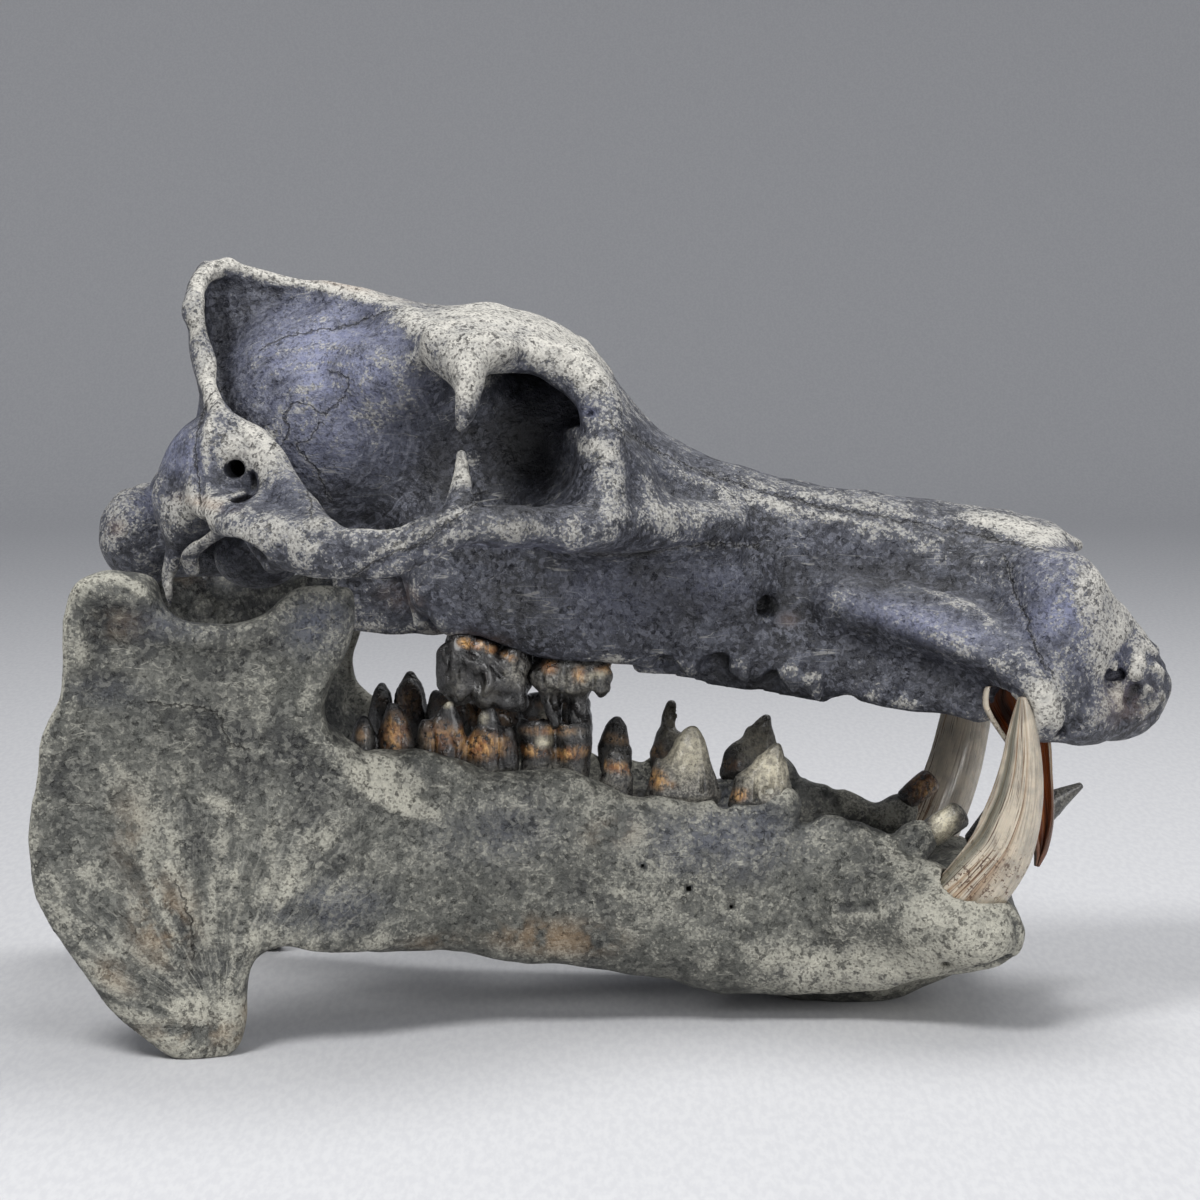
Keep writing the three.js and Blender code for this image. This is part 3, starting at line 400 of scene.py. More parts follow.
ROOF = through((-186, 331), (-172, CREST_TOP), (-152, 334), (-122, 326), (-90, 320), (-72, 317),
               (-50, 319), (-36, 316), (-20, 310), (-9, 302), (0, 290), (23, 263), (45, 250), (68, 243),
               (113, 234), (159, 226), (204, 219), (222, 210))


def muzzle(bone):
    bone.add(hull(
        -95, 214,
        top=lambda x: np.where(x < -16, 292, np.minimum(ROOF(x), 292)),
        bottom=through((-95, 196), (-75, 180), (-40, 166), (50, 160), (120, 152), (180, 150), (214, 152)),
        wide_high=through((-95, 28), (-60, 33), (-20, 44), (10, 54), (30, 48), (60, 38), (100, 32),
                          (150, 34), (190, 40), (214, 38)),
        wide_low=through((-95, 34), (-70, 52), (-20, 58), (10, 58), (50, 50), (90, 41), (120, 38),
                         (150, 45), (175, 58), (200, 64), (214, 60))))
    bone.add(egg((-4, 56, 236), (30, 32, 30)), 12)
    tooth_ridge = bar((-74, 44, 193, 11, 13), (-46, 46, 187, 15, 15), (-8, 46, 177, 14, 14),
                      (10, 45, 174, 12, 14), (40, 43, 167, 9, 13), (90, 40, 158, 7, 13),
                      (130, 45, 150, 7, 9), (165, 62, 144, 7, 8))
    bone.add(tooth_ridge, 14)
    gum = bar((-66, 49, 182, 9, 9), (-48, 52, 181, 9.5, 9), (-32, 51, 174, 9, 8), (-14, 50, 170.5, 9, 8),
              (6, 49, 168, 8, 7))
    bone.add(gum, 6)
    under_arch = bar((-30, 46, 204, 10, 12), (10, 50, 200, 9, 14), (50, 46, 194, 9, 15),
                     (64, 43, 191, 8, 14))
    bone.add(under_arch, 12)


def canine_and_front(bone):
    out = CANINE_HALF - 12
    root_swelling = bar((108, 42, 187, 10, 10), (138, 52, 180, 13, 13), (165, out - 9, 169, 15, 15),
                        (186, out - 1, 155, 15, 15), (190, out, 144, 12, 12))
    bone.add(root_swelling, 18)
    bone.add(egg((204, 54, 176), (22, 22, 34)), 14)
    bone.add(bar((192, 34, 198, 22, 16), (212, 36, 184, 22, 14), (228, 36, 164, 22, 17),
                 (234, 36, 151, 22, 19), (232, 36, 143, 20, 18)), 10)
    bone.add(bar((190, out, 147, 12, 14), (208, 64, 140, 12, 13), (224, 46, 140, 13, 14)), 8)
    nasal_tip = bar((170, 0, 217, 24, 7), (202, 0, 214, 22, 6), (216, 0, 209, 15, 4))
    bone.add(nasal_tip, 5)
    nose_opening = egg((240, 0, 188), (50, 21, 19), 18)
    slot_between_premaxillae = egg((264, 0, 148), (30, 8, 50))
    bone.cut(nose_opening, 6)
    bone.cut(slot_between_premaxillae, 6)


def muzzle_hollows(bone):
    bone.cut(bar((84, 66, 203, 14, 8), (118, 66, 200, 17, 8), (148, 78, 187, 16, 7),
                 (168, 86, 176, 12, 5)), 12)                 # the furrow above the canine root
    bone.cut(bar((112, 72, 168, 18, 7), (140, 76, 158, 20, 11), (166, 84, 147, 16, 10),
                 (176, 90, 142, 12, 7)), 9)                  # the deep hollow below it
    bone.cut(egg((60, 0, 146), (122, 28, 14)), 10)           # the palate
    sockets = ((28, 153, 8.5, 12), (51, 152, 10, 13), (76, 147, 7.5, 9.5), (108, 137, 8, 8.5))
    for x, z, wide, tall in sockets:
        bone.cut(egg((x, 56, z), (wide, 15.5, tall)), 1)     # the outer wall is broken highest
        bone.cut(egg((x + 2, 45, z + 1), (wide * 0.72, 7, tall * 0.9)), 1)
    bone.add(bar((18, 36, 163, 4, 9), (40, 36, 160, 3, 9), (64, 35, 154, 3, 8), (86, 36, 150, 3, 7),
                 (100, 38, 148, 3, 7)), 3)                   # the inner wall is left standing
    for x, z, down, wide in ((39, 158, 4, 2.8), (64, 152, 4, 2.8), (85, 149, 3, 2.6), (96, 146, 5, 3.4)):
        splinter = bar((x - 2, 47, z + 7, 5, 6), (x, 47, z, 3, wide), (x + 1, 46, z - down, 1, 1))
        bone.add(splinter, 3)
    bone.cut(bar((68, 56, 182, 5, 3), (78, 47, 184, 5, 4), (70, 40, 186, 5, 4)), 3)  # infraorbital hole
    bone.cut(egg((90, 50, 179), (3, 6, 2)), 1.5)

# %% [markdown]
# ## Behind the muzzle
# The braincase of a hippopotamus is small. Most of the skull's rear is there for muscles: a crest along
# the top for the temple muscle, a plate across the nape for the neck, and a roof that reaches out over
# the orbits. Eggs give the swellings and sheets give the plates. The fillets are wide, because bone
# under a muscle runs on in one sweep.

# %% Braincase and forehead
def braincase(bone):
    bone.add(egg((-118, 0, 266), (62, 49, 52)), 12)
    bone.add(egg((-80, 24, 282), (38, 27, 24)), 12)
    crest = [(-179, 314), (-178, 326), (-169, CREST_TOP - 4), (-152, 330), (-122, 321), (-96, 313),
             (-76, 304), (-66, 288), (-100, 262), (-150, 262), (-172, 285)]
    bone.add(sheet("side", crest, lambda x, z: 0 * x * z,
                   lambda x, z, inside: 3.5 + 31 * (np.maximum(334 - z, 0) / 72) ** 2), 12)
    nape = [(-30, CREST_TOP - 3), (12, CREST_TOP - 3), (28, 328), (38, 314), (45, 298), (54, 285),
            (68, 275), (84, 265), (89, 250), (84, 234), (72, 222), (50, 212), (20, 204), (-30, 204)]
    rim = through((204, -182), (236, -168), (264, -162), (282, -168), (300, -174), (320, -178),
                  (338, -175))
    swell = through((204, 24), (235, 30), (250, 24), (261, 16), (282, 6), (310, 0))
    bone.add(sheet("back", nape, lambda s, z: rim(z) - 2.5 - swell(z) * np.maximum(1 - (s / 52) ** 2, 0),
                   lambda s, z, inside: 3.5 + 0 * inside), 7)
    bone.add(egg((-168, 60, 244), (22, 30, 26)), 12)
    bone.add(egg((-158, 76, 250), (20, 13, 19)), 8)


RIM = [(-168, 2, 334), (-175, 12, 332), (-178, 24, 327), (-178, 33, 319), (-178, 39, 311),
       (-176, 43, 303), (-173, 48, 295), (-171, 54, 286), (-168, 64, 278), (-163, 76, 270),
       (-150, 84, 262), (-141, 89, 255), (-135, 95, 248), (-130, 104, 240), (-122, 114, 234)]


def crests(bone):
    """A rope of bone edges the nape and turns forward over the ear. Another tops the middle crest."""
    thick = np.interp(np.arange(len(RIM)), [0, 3, 8, len(RIM) - 1], [4.5, 3.9, 3.2, 4.5])
    bone.add(bar(*[(*p, t, t) for p, t in zip(RIM, thick)]), 2.5)
    bone.add(bar((-168, 0, 333, 5, 3.6), (-150, 0, 329, 5, 3.4), (-122, 0, 321, 5, 3),
                 (-96, 0, 314, 7, 3)), 4)


def forehead(bone):
    thick = 9
    roof = [(14, -30), (14, 30), (5, 54), (-8, 66), (-26, 76), (-45, 82), (-62, 88), (-75, 82), (-80, 64),
            (-92, 38), (-108, 18), (-124, 6), (-124, -30)]
    bone.add(sheet("top", roof, lambda x, s: ROOF(x) - thick - 12 * (s / 80) ** 2,
                   lambda x, s, inside: thick + 0 * inside, 9), 12)


def orbit_and_temple(bone):
    bone.cut(egg((-33, 101, 258), (27.5, 64, 33.5)), 4)
    bone.cut(egg((-96, 104, 248), (40, 52, 46)), 8)
    bone.add(egg((-90, 40, 288), (24, 20, 17)), 14)
    bone.add(egg((-78, 50, 292), (8, 8, 9)), 8)              # the boss on the temple
    spur_above = bar((-64, 78, 302, 13, 10), (-57, 91, 291, 9, 11), (-56, 99, 281, 6, 8),
                     (-57.5, 103, 272, 4.4, 4.8), (-59, 104, 267, 3.2, 3))
    bone.add(spur_above, 7)
    bone.add(egg((-48, 84, 300), (14, 10, 8)), 8)
    front_rim = bar((-12, 64, 294, 9, 8), (0, 73, 277, 9, 8), (2, 82, 256, 8, 8), (2, 92, 238, 8, 8),
                    (-2, 100, 225, 9, 7), (-16, 106, 222, 10, 6))
    bone.add(front_rim, 8)
    bone.cut(egg((-4, 90, 272), (4, 12, 3)), 2)              # where the tear duct leaves

# %% [markdown]
# ## The cheek arch and the base
# The cheek arch carries the chewing muscle from under the orbit back to the ear, and the lower jaw
# hangs in a hollow under its rear end. Bars suit it, since it is a strut whose thickness keeps changing.
# The base under the braincase ends in two knobs, the condyles, that meet the first bone of the neck.

# %% Cheek arch
def cheek_arch(bone):
    out = ARCH_HALF - 7
    bone.add(bar((-160, 76, 238, 18, 11), (-152, 98, 230, 20, 10), (-136, 121, 222, 15, 12),
                 (-112, out - 3, 217, 8, 12), (-86, out, 217, 6, 11), (-62, out - 6, 226, 7, 8),
                 (-34, 118, 226, 9, 6.5)), 8)
    bone.add(bar((-40, 122, 226, 10, 6.5), (-18, 106, 225, 12, 8), (4, 85, 223, 14, 9),
                 (28, 62, 222, 12, 11), (56, 42, 217, 9, 11)), 12)
    ridge_over_ear = bar((-150, 82, 258, 6, 6), (-139, 92, 246, 8, 7),
                         (-130, 108, 233, 9, 8), (-116, 126, 224, 8, 8))
    bone.add(ridge_over_ear, 8)
    spur_below = bar((-59, 127, 228, 9, 7.5), (-58.5, 119, 241, 5, 4.8), (-58.5, 113, 256, 3, 3))
    bone.add(spur_below, 4)
    bone.cut(egg((-154, 112, 208), (18, 34, 14), 12), 3)     # the hollow of the jaw joint
    rim_of_jaw_joint = bar((-175, 86, 205, 4, 3.4), (-176, 89, 211, 4.5, 3.6), (-171.5, 93, 217, 5, 3.8),
                           (-159.5, 101, 223, 5.5, 3.8), (-149, 110, 225, 6, 4), (-144, 115, 222, 6, 4),
                           (-141.5, 119, 216, 6, 4), (-137, 122, 211, 6, 5))
    bone.add(rim_of_jaw_joint, 3)
    bone.cut(bar((-157, 98, 249, 3.9, 3.9), (-156, 84, 249, 3.6, 3.6), (-154, 70, 249, 3, 3)), 1.5)
    bone.cut(bar((-178, 90, 217, 15, 1.5), (-168, 91, 223, 15, 1.5), (-155, 96, 231, 13, 1.4),
                 (-148, 102, 237, 9, 1.2)), 1.5)             # the cleft behind the jaw joint


def base(bone):
    bone.add(bar((-208, 0, 206, 24, 12), (-150, 0, 209, 24, 14), (-100, 0, 214, 22, 16),
                 (-60, 0, 216, 20, 16)), 12)
    bone.add(egg((-206, 28, 214), (17, 17, 22), 15), 5)      # the condyle that meets the neck
    bone.cut(bar((-197, 40, 232, 8, 2.4), (-195, 48, 226, 10, 3.2), (-194, 52, 217, 10, 3)), 2)
    bone.add(egg((-178, 67, 234), (17, 15, 21)), 7)
    bone.add(egg((-177, 74, 229), (11, 12, 17), -14), 5)     # the rough knob behind the ear
    spike_behind_ear = bar((-181, 68, 224, 11, 7), (-185, 70, 210, 7, 4.5), (-187, 71, 198, 5, 2.6),
                           (-187.5, 71, 187, 2.5, 1.8))
    bone.add(spike_behind_ear, 4)
    bone.add(egg((-150, 42, 208), (20, 15, 16)), 6)
    wing = [(-118, 214), (-62, 214), (-58, 190), (-66, 173), (-84, 170), (-104, 169), (-116, 173),
            (-120, 190)]
    bone.add(sheet("side", wing, lambda x, z: 20 + 0 * x * z, lambda x, z, inside: 4 + 0 * inside, 4), 6)
    bone.add(bar((-84, 34, 208, 5, 7), (-82, 36, 190, 4, 5), (-80, 36, 176, 3, 4)), 5)
    bone.cut(egg((-220, 0, 228), (26, 13, 12)), 5)           # the hole for the spinal cord
    bone.cut(egg((-84, 0, 190), (34, 15, 14)), 6)            # the passage of the nose

# %% [markdown]
# ## Mirrored, then broken
# A living skull is much the same on both sides, so the half is copied across. A fossil is not: here a
# socket has lost its wall and the front is eaten away. So the breaks are cut after the mirror, and
# coarse noise roughens those places alone. Sutures and muscle scars come last, as lines.

# %% The cranium, mirrored and broken
# Stations of the right upper canine: x, y, z, thickness along the skull, thickness across it.
UPPER_CANINE = [(179, -68.5, 153, 22, 14), (179.5, -69, 147, 26, 16.5), (187, -66, 130, 20, 14),
                (191.5, -61, 112, 15, 11), (195, -57, 91, 10.5, 8.5), (195, -54, 78, 6.5, 6),
                (193.5, -53, 70.5, 2.6, 2.6)]


def broken_front(bone):
    """The right canine socket has lost its outer wall, and the tips of the premaxillae are eaten away."""
    room = [(x, y, z, wide / 2 + 0.6, long / 2 + 0.6) for x, y, z, long, wide in UPPER_CANINE]
    bone.cut(bar(*room[1:]), 0.5)
    bone.cut(egg((174, -86, 142.5), (9.5, 17, 10.5), -12), 1.2)  # its outer wall is gone
    bone.cut(bar((196, -80, 141, 8, 1.2), (197, -78, 137, 8, 1.8), (199, -76, 133, 8, 2)), 1)
    bone.cut(bar((176, 76, 160, 6, 8), (182, 76, 146, 8, 10), (186, 76, 130, 9, 12)), 2)


NASAL_SUTURE = [(4, 268), (27, 252), (53, 241), (89, 230), (125, 223), (159, 217), (196, 210)]
PREMAXILLA_SUTURE = [(179, 207), (182, 194), (186, 181), (190, 167), (196, 158)]
CHEEK_SUTURE = [(-18, 212), (4, 211), (22, 211), (44, 214), (70, 212)]
# Seams, scars and cracks, each a line of (x, z), half width, height (below 0 a groove), and |y| range.
CRANIUM_CREASES = [
    ([(-167, 281), (-170, 277), (-172, 265), (-173, 254), (-171, 243), (-169, 234), (-166, 221)],
     1.8, -1.1, (70, 200)),
    ([(-163, 281), (-166, 270), (-168, 256), (-167, 244)], 1.8, 0.8, (70, 200)),
    ([(-149, 249), (-147, 243), (-150, 237), (-157, 233), (-161, 232)], 1.4, -1.3, (78, 200)),
    ([(-145, 246), (-144, 239), (-149, 233), (-158, 229)], 2.2, 0.8, (78, 200)),
    ([(-112, 200), (-99, 207), (-90, 213), (-79, 217), (-67, 224), (-55, 232)], 1.6, -1.1, (100, 200)),
    ([(-112, 205), (-99, 212), (-90, 218), (-79, 222), (-67, 229), (-55, 237)], 1.8, 0.7, (100, 200)),
    ([(-150, 298), (-133, 305), (-113, 308), (-98, 314)], 1.8, -0.8, (0, 75)),
    ([(-160, 288), (-140, 296), (-118, 299), (-96, 300)], 3, 0.6, (0, 75)),
    ([(-155, 276), (-140, 285), (-118, 288), (-98, 284)], 3, -0.5, (0, 75)),
    (NASAL_SUTURE, 1.7, -0.9, (20, 70)),
    ([(20, 250), (53, 236), (89, 225), (125, 218), (159, 211)], 3, 0.6, (20, 70)),
    (PREMAXILLA_SUTURE, 1.8, -1.2, (30, 95)),
    (CHEEK_SUTURE, 1.7, -0.9, (50, 130)),
    ([(100, 193), (130, 196), (150, 190), (166, 182)], 4, 1.0, (30, 95)),
    ([(-66, 312), (-60, 300), (-58, 285)], 3, 0.8, (60, 120)),
]


def lay_down_cranium():
    """The cranium's field: its forms, then the mirror, the breaks, the roughness and the lines."""
    bone = Bone((-236, 0, 114), (266, 156, 348))
    for step in (muzzle, canine_and_front, muzzle_hollows, braincase, forehead, orbit_and_temple,
                 crests, cheek_arch, base):
        step(bone)
    bone.mirror()
    broken_front(bone)
    roughen(bone, cell=26, size=0.55, seed=1)
    roughen(bone, cell=10, size=0.36, seed=2)
    roughen(bone, cell=5.5, size=0.2, seed=7)
    ragged = [((232, 48, 155), (22, 30, 26), 0), ((190, 70, 136), (26, 26, 12), 0),
              ((60, 46, 150), (60, 18, 14), 0), ((125, 46, 146), (50, 24, 10), 0),
              ((-184, 60, 236), (20, 26, 24), 0), ((-178, 36, 312), (8, 30, 34), 0),
              ((-186, 70, 200), (12, 12, 18), 0)]
    roughen(bone, cell=5, size=1.0, seed=3, places=ragged)
    broken = [((62, 48, 150), (56, 16, 10), -8), ((130, 46, 148), (34, 20, 6), 0),
              ((173, 80, 146), (20, 16, 16), 0)]
    roughen(bone, cell=3.6, size=1.0, seed=9, places=broken)
    eaten = [((234, 48, 153), (27, 34, 25), 0), ((246, 34, 152), (16, 30, 26), 0),
             ((197, 76, 139), (14, 18, 12), -1)]
    roughen(bone, cell=8, size=2.0, seed=4, places=eaten, only_away=True)
    roughen(bone, cell=4.6, size=2.0, seed=5, places=eaten, only_away=True)
    roughen(bone, cell=3.4, size=1.6, seed=8, places=eaten)
    pitted = [((-120, 124, 222), (52, 34, 18), 0), ((-20, 100, 226), (50, 40, 20), 0),
              ((-46, 70, 306), (46, 44, 20), 0), ((-168, 84, 232), (20, 26, 30), 0)]
    roughen(bone, cell=5, size=0.75, seed=6, places=pitted)
    for line, width, size, out in CRANIUM_CREASES:
        crease(bone, line, width, size, out)
    print("the cranium's field has", bone.depth.shape, "points and", len(CRANIUM_CREASES), "lines")
    return bone

# %% [markdown]
# ## The lower jaw's forms
# The lower jaw is a V of two bars that meet in a broad chin, and each bar carries an upright plate. In
# a hippopotamus the plate's lower corner hangs far down as a hook, and the tusks stand at the corners
# of the chin.

# %% Lower jaw
JAW_ANGLE_HALF = 124       # half breadth over the angles of the lower jaw


def jaw_body(bone):
    bone.add(hull(
        -125, 178,
        top=through((-125, 118), (-88, 121), (-44, 114), (-9, 111), (5, 106), (22, 104), (57, 99),
                    (82, 98), (90, 89), (108, 87), (118, 84), (134, 79), (146, 74), (158, 67), (178, 60)),
        bottom=through((-125, 50), (-88, 37), (0, 25), (54, 15), (91, 11), (123, 15), (150, 22),
                       (178, 34)),
        wide_high=through((-125, 12), (-88, 15), (0, 14), (70, 12), (100, 8), (120, 8), (140, 10),
                          (178, 14)),
        wide_low=through((-125, 13), (-88, 18), (0, 18), (90, 17), (140, 18), (178, 14)),
        middle=through((-125, 84), (-88, 68), (-50, 59), (0, 52), (50, 48), (90, 46), (120, 50),
                       (150, 62), (178, 70)), square=2.5))
    bone.add(bar((-117, 76, 126, 6, 7), (-104, 77, 114, 6, 7), (-88, 76, 106, 5, 6),
                 (-74, 72, 100, 3, 4)), 8)
    bone.cut(egg((55.5, 46, 101), (5, 9, 6)), 2)             # the empty gap between two premolars


JAW_PLATE = [(-226, 193), (-219, 204), (-206, 206), (-193, 200), (-180, 187), (-160, 183), (-142, 187),
             (-132, 196), (-118, 198), (-108, 196), (-108, 180), (-116, 157), (-119, 144), (-111, 129),
             (-88, 121), (-60, 112), (-60, 60), (-88, 42), (-118, 41), (-134, 45), (-146, 40),
             (-151, 28), (-151, 12), (-156, 2), (-170, -3), (-186, 2), (-208, 21), (-228, 47),
             (-240, 80), (-240, 110), (-235, 138), (-227, 166)]


def jaw_upright(bone):
    out = JAW_ANGLE_HALF - 8
    lean = through((-240, out), (-200, out - 6), (-150, 97), (-115, 84), (-85, 68), (-40, 58))
    flare = through((0, 12), (60, 6), (120, 0), (200, 0))

    def half(x, z, inside):
        """A raised rim 8 mm thick, a thinner plate within it, and a thick root where it meets the bar."""
        rim = smooth_step(-60, -120, x) * smooth_step(15, 7, inside)
        thick_root = 7 * np.maximum(1 - np.hypot(x + 100, z - 80) / 60, 0)
        return 5.2 + 3.4 * rim + thick_root + 1.2 * smooth_step(60, 20, np.hypot(x + 195, z - 20))

    bone.add(sheet("side", JAW_PLATE, lambda x, z: lean(x) + flare(z), half, 6), 8)
    bone.add(egg((-206, 100, 195), (18, 22, 10.5), 10), 7)   # the knob of the jaw joint
    bone.add(bar((-200, 108, 186, 7, 9), (-192, 104, 165, 5, 9), (-182, 100, 145, 3, 8)), 10)


def chin(bone):
    bone.add(hull(
        48, 190,
        top=through((48, 40), (70, 54), (100, 62), (140, 64), (168, 62), (178, 56), (190, 46)),
        bottom=through((48, 18), (70, 7), (91, 1), (123, -2.5), (150, 6), (172, 19), (190, 42)),
        wide_high=through((48, 44), (90, 46), (130, 50), (160, 54), (190, 50)),
        wide_low=through((48, 34), (90, 28), (130, 26), (160, 34), (190, 42)), square=2.3), 20)
    bone.add(bar((112, 54, 54, 14, 17), (140, 64, 52, 18, 17), (159, 73, 47, 17, 14),
                 (167.5, 76, 43, 14, 12)), 12)
    bone.add(bar((168, 0, 48, 14, 20), (168, 40, 44, 14, 16), (163, 70, 42, 13, 13)), 12)
    bone.cut(egg((98, 0, 92), (70, 30, 24), 4), 12)          # the trough above the chin
    bone.cut(egg((30, 0, 40), (44, 30, 22), -20), 10)        # the hollow behind it
    bone.cut(bar((152, 80, 22, 8, 4), (165, 82, 27, 7, 3.4), (176, 80, 34, 5, 3)), 4)
    bone.add(bar((116, 46, 82, 5, 4), (128, 46, 78, 5, 5), (140, 45, 74, 7, 6)), 6)
    bone.add(egg((140, 44, 80), (11, 9.5, 9), 30), 5)        # the collar of the second incisor
    bone.add(egg((80, 46, 97), (9, 9, 8)), 5)                # bone heaped against the first premolar left


# Stations of the tusks: x, y, z, thickness along the jaw, thickness across it.
RIGHT_TUSK = [(147, -64, 43, 27, 21), (153, -66, 50, 29.5, 23), (166, -70, 66, 29.5, 22.5),
              (174.5, -73, 80, 28.5, 21.5), (179, -76.5, 95, 26, 20), (181.5, -79, 108, 22.5, 18),
              (182.5, -81.5, 120, 18.5, 15), (182.6, -83.5, 132, 14.5, 12), (182.4, -85.2, 142, 9.5, 8.5),
              (182, -86.2, 149, 4.5, 4.5)]
LEFT_TUSK = [(143, 64, 43, 27, 21), (149, 66.5, 51, 29, 23), (159, 71, 70, 29, 23),
             (168.5, 76, 94, 27.5, 21), (175, 80, 120, 25.5, 18), (179.5, 83, 142, 23, 15),
             (181, 85, 155, 18, 10)]


def scar(apex, turn, near, far):
    """A line of (x, z) from an apex outward at a turn in degrees from straight up, leaning back a little."""
    a = np.radians(turn + np.array([0, 3, 8]))
    reach = np.array([near, (near + far) / 2, far])
    return [(apex[0] + r * math.sin(t), apex[1] + r * math.cos(t)) for t, r in zip(a, reach)]


JAW_CRACK = [(-191, 151), (-176, 149), (-163, 146), (-158, 132), (-149, 130)]
JAW_CREASES = [
    ([(-211, 127), (-207, 118), (-204, 112)], 3, 0.9, (80, 200)),
    ([(-209, 111), (-202, 95), (-197, 79)], 2.6, 0.9, (80, 200)),
    ([(-173, 109), (-163, 107), (-156, 101), (-152, 93)], 3, 1.1, (80, 200)),
    ([(-185, 84), (-179, 73), (-174, 60)], 2.6, 1.0, (80, 200)),
    ([(-190, 70), (-184, 56), (-178, 44)], 2.6, 0.8, (80, 200)),
    ([(-156, 70), (-150, 84), (-138, 98), (-124, 110)], 5, 1.3, (60, 200)),
    ([(-152, 40), (-146, 56), (-134, 66), (-118, 72)], 4, 1.0, (60, 200)),
    ([(-194, 46), (-187, 40), (-181, 34)], 1.4, -0.7, (80, 200)),
    (JAW_CRACK, 1.8, 0.8, (80, 200)),
    ([(-108, 126), (-96, 118), (-80, 108), (-68, 104)], 3.2, -1.8, (62, 200)),
    ([(-112, 118), (-100, 108), (-84, 99), (-66, 97)], 3, 1.1, (62, 200)),
    ([(-214, 168), (-205, 176), (-196, 172)], 4, -1.3, (80, 200)),
    ([(104, 53), (112, 55), (122, 56)], 2.2, -2.2, (30, 200)),
]
# The fan where the chewing muscle pulled: turn in degrees, near and far end, and height of each scar.
JAW_FAN = [(-48, 38, 62, 0.7), (-38, 30, 80, -0.6), (-30, 40, 96, 0.6), (-20, 26, 60, 0.7),
           (-14, 60, 110, -0.5), (-6, 30, 76, 0.7), (4, 50, 104, 0.6), (12, 30, 62, -0.6),
           (20, 44, 92, 0.7), (28, 34, 70, 0.6)]
JAW_CREASES += [(scar((-161, 20), turn, near, far), 2.2, size, (80, 200))
                for turn, near, far, size in JAW_FAN]
# Small holes for vessels: x, |y|, z, half width.
JAW_HOLES = ((19, 68, 72, 1.6), (39, 66, 62, 1.4), (58, 64, 54, 1.5), (151, 82, 31, 2.6), (122, 70, 21, 1.6))


def lay_down_jaw():
    """The lower jaw's field, with a socket for each tusk and an underside that is level on the table."""
    bone = Bone((-250, 0, -6), (206, 140, 216))
    jaw_body(bone)
    jaw_upright(bone)
    chin(bone)
    bone.mirror()
    roughen(bone, cell=26, size=0.6, seed=11)
    roughen(bone, cell=10, size=0.34, seed=12)
    roughen(bone, cell=5.5, size=0.16, seed=15)
    ragged = [((125, 48, 84), (42, 18, 12), 0), ((148, 52, 72), (24, 26, 16), 0),
              ((40, 46, 104), (60, 10, 8), 0), ((-206, 104, 200), (22, 26, 12), 0)]
    roughen(bone, cell=5, size=0.5, seed=13, places=ragged)
    roughen(bone, cell=5.5, size=0.28, seed=14, places=[((-180, 110, 100), (90, 40, 120), 0)])
    inside_rim = [(x + 6 * (1 - (x + 240) / 200), z + 3) for x, z in JAW_PLATE[:-8:-1]]
    crease(bone, inside_rim, 6, -1.5, (90, 200))
    for line, width, size, out in JAW_CREASES:
        crease(bone, line, width, size, out)
    for x, y, z, r in JAW_HOLES:
        for side in (-1, 1):
            bone.cut(egg((x, side * y, z), (r, 9, r * 0.8)), 1)
    for tusk in (RIGHT_TUSK, LEFT_TUSK):
        socket = [(x, y, z, across / 2 + 0.7, along / 2 + 0.7) for x, y, z, along, across in tusk[:5]]
        bone.cut(bar(*socket), 0.4)
    above_table = bone.grid((slice(None),) * 3)[2] - 0.1
    bone.depth = np.maximum(bone.depth, -above_table).astype(np.float32)
    print("the lower jaw's field has", bone.depth.shape, "points and", len(JAW_CREASES), "lines")
    return bone

# %% [markdown]
# ## From a field to a skin
# The skin lies where the depth is zero. A surface net puts one point in each small cube that the skin
# crosses, at the mean of the crossings on the cube's edges, and one four-sided face round each grid
# edge that it crosses. A few rounds of smoothing then slide the points into even rows, and each round
# pulls them back to depth zero.

# %% Surface net
CORNERS = np.array([(a, b, c) for a in (0, 1) for b in (0, 1) for c in (0, 1)])


def sample(field, places):
    """Depth and its slope at places given in grid steps, by straight mixing of the 8 corners."""
    i = np.clip(np.floor(places).astype(int), 0, np.array(field.shape) - 2)
    u = places - i
    value, slope = np.zeros(len(places)), np.zeros_like(places)
    for corner in CORNERS:
        share = np.where(corner, u, 1 - u)
        depth = field[tuple((i + corner).T)]
        value += depth * share.prod(1)
        for axis in range(3):
            others = np.delete(share, axis, 1).prod(1)
            slope[:, axis] += depth * (2 * corner[axis] - 1) * others
    return value, slope


def net_points(field):
    """One point for each cube whose corners are partly inside: the mean of its edge crossings."""
    inside = field < 0
    size = np.array(field.shape) - 1
    count = sum(inside[a:size[0] + a, b:size[1] + b, c:size[2] + c].astype(np.int8)
                for a, b, c in CORNERS)
    cubes = np.argwhere((count > 0) & (count < 8))
    name = np.full(size, -1, np.int32)
    name[tuple(cubes.T)] = np.arange(len(cubes))
    total, crossings = np.zeros((len(cubes), 3)), np.zeros(len(cubes))
    depth = [field[tuple((cubes + corner).T)] for corner in CORNERS]
    for i, a in enumerate(CORNERS):
        for j in range(i + 1, 8):
            if np.abs(a - CORNERS[j]).sum() == 1:
                crossed = (depth[i] < 0) != (depth[j] < 0)
                gap = np.where(crossed, depth[i] - depth[j], 1)
                t = np.where(crossed, depth[i] / gap, 0)
                total += np.where(crossed[:, None], a + t[:, None] * (CORNERS[j] - a), 0)
                crossings += crossed
    return cubes + total / crossings[:, None], name


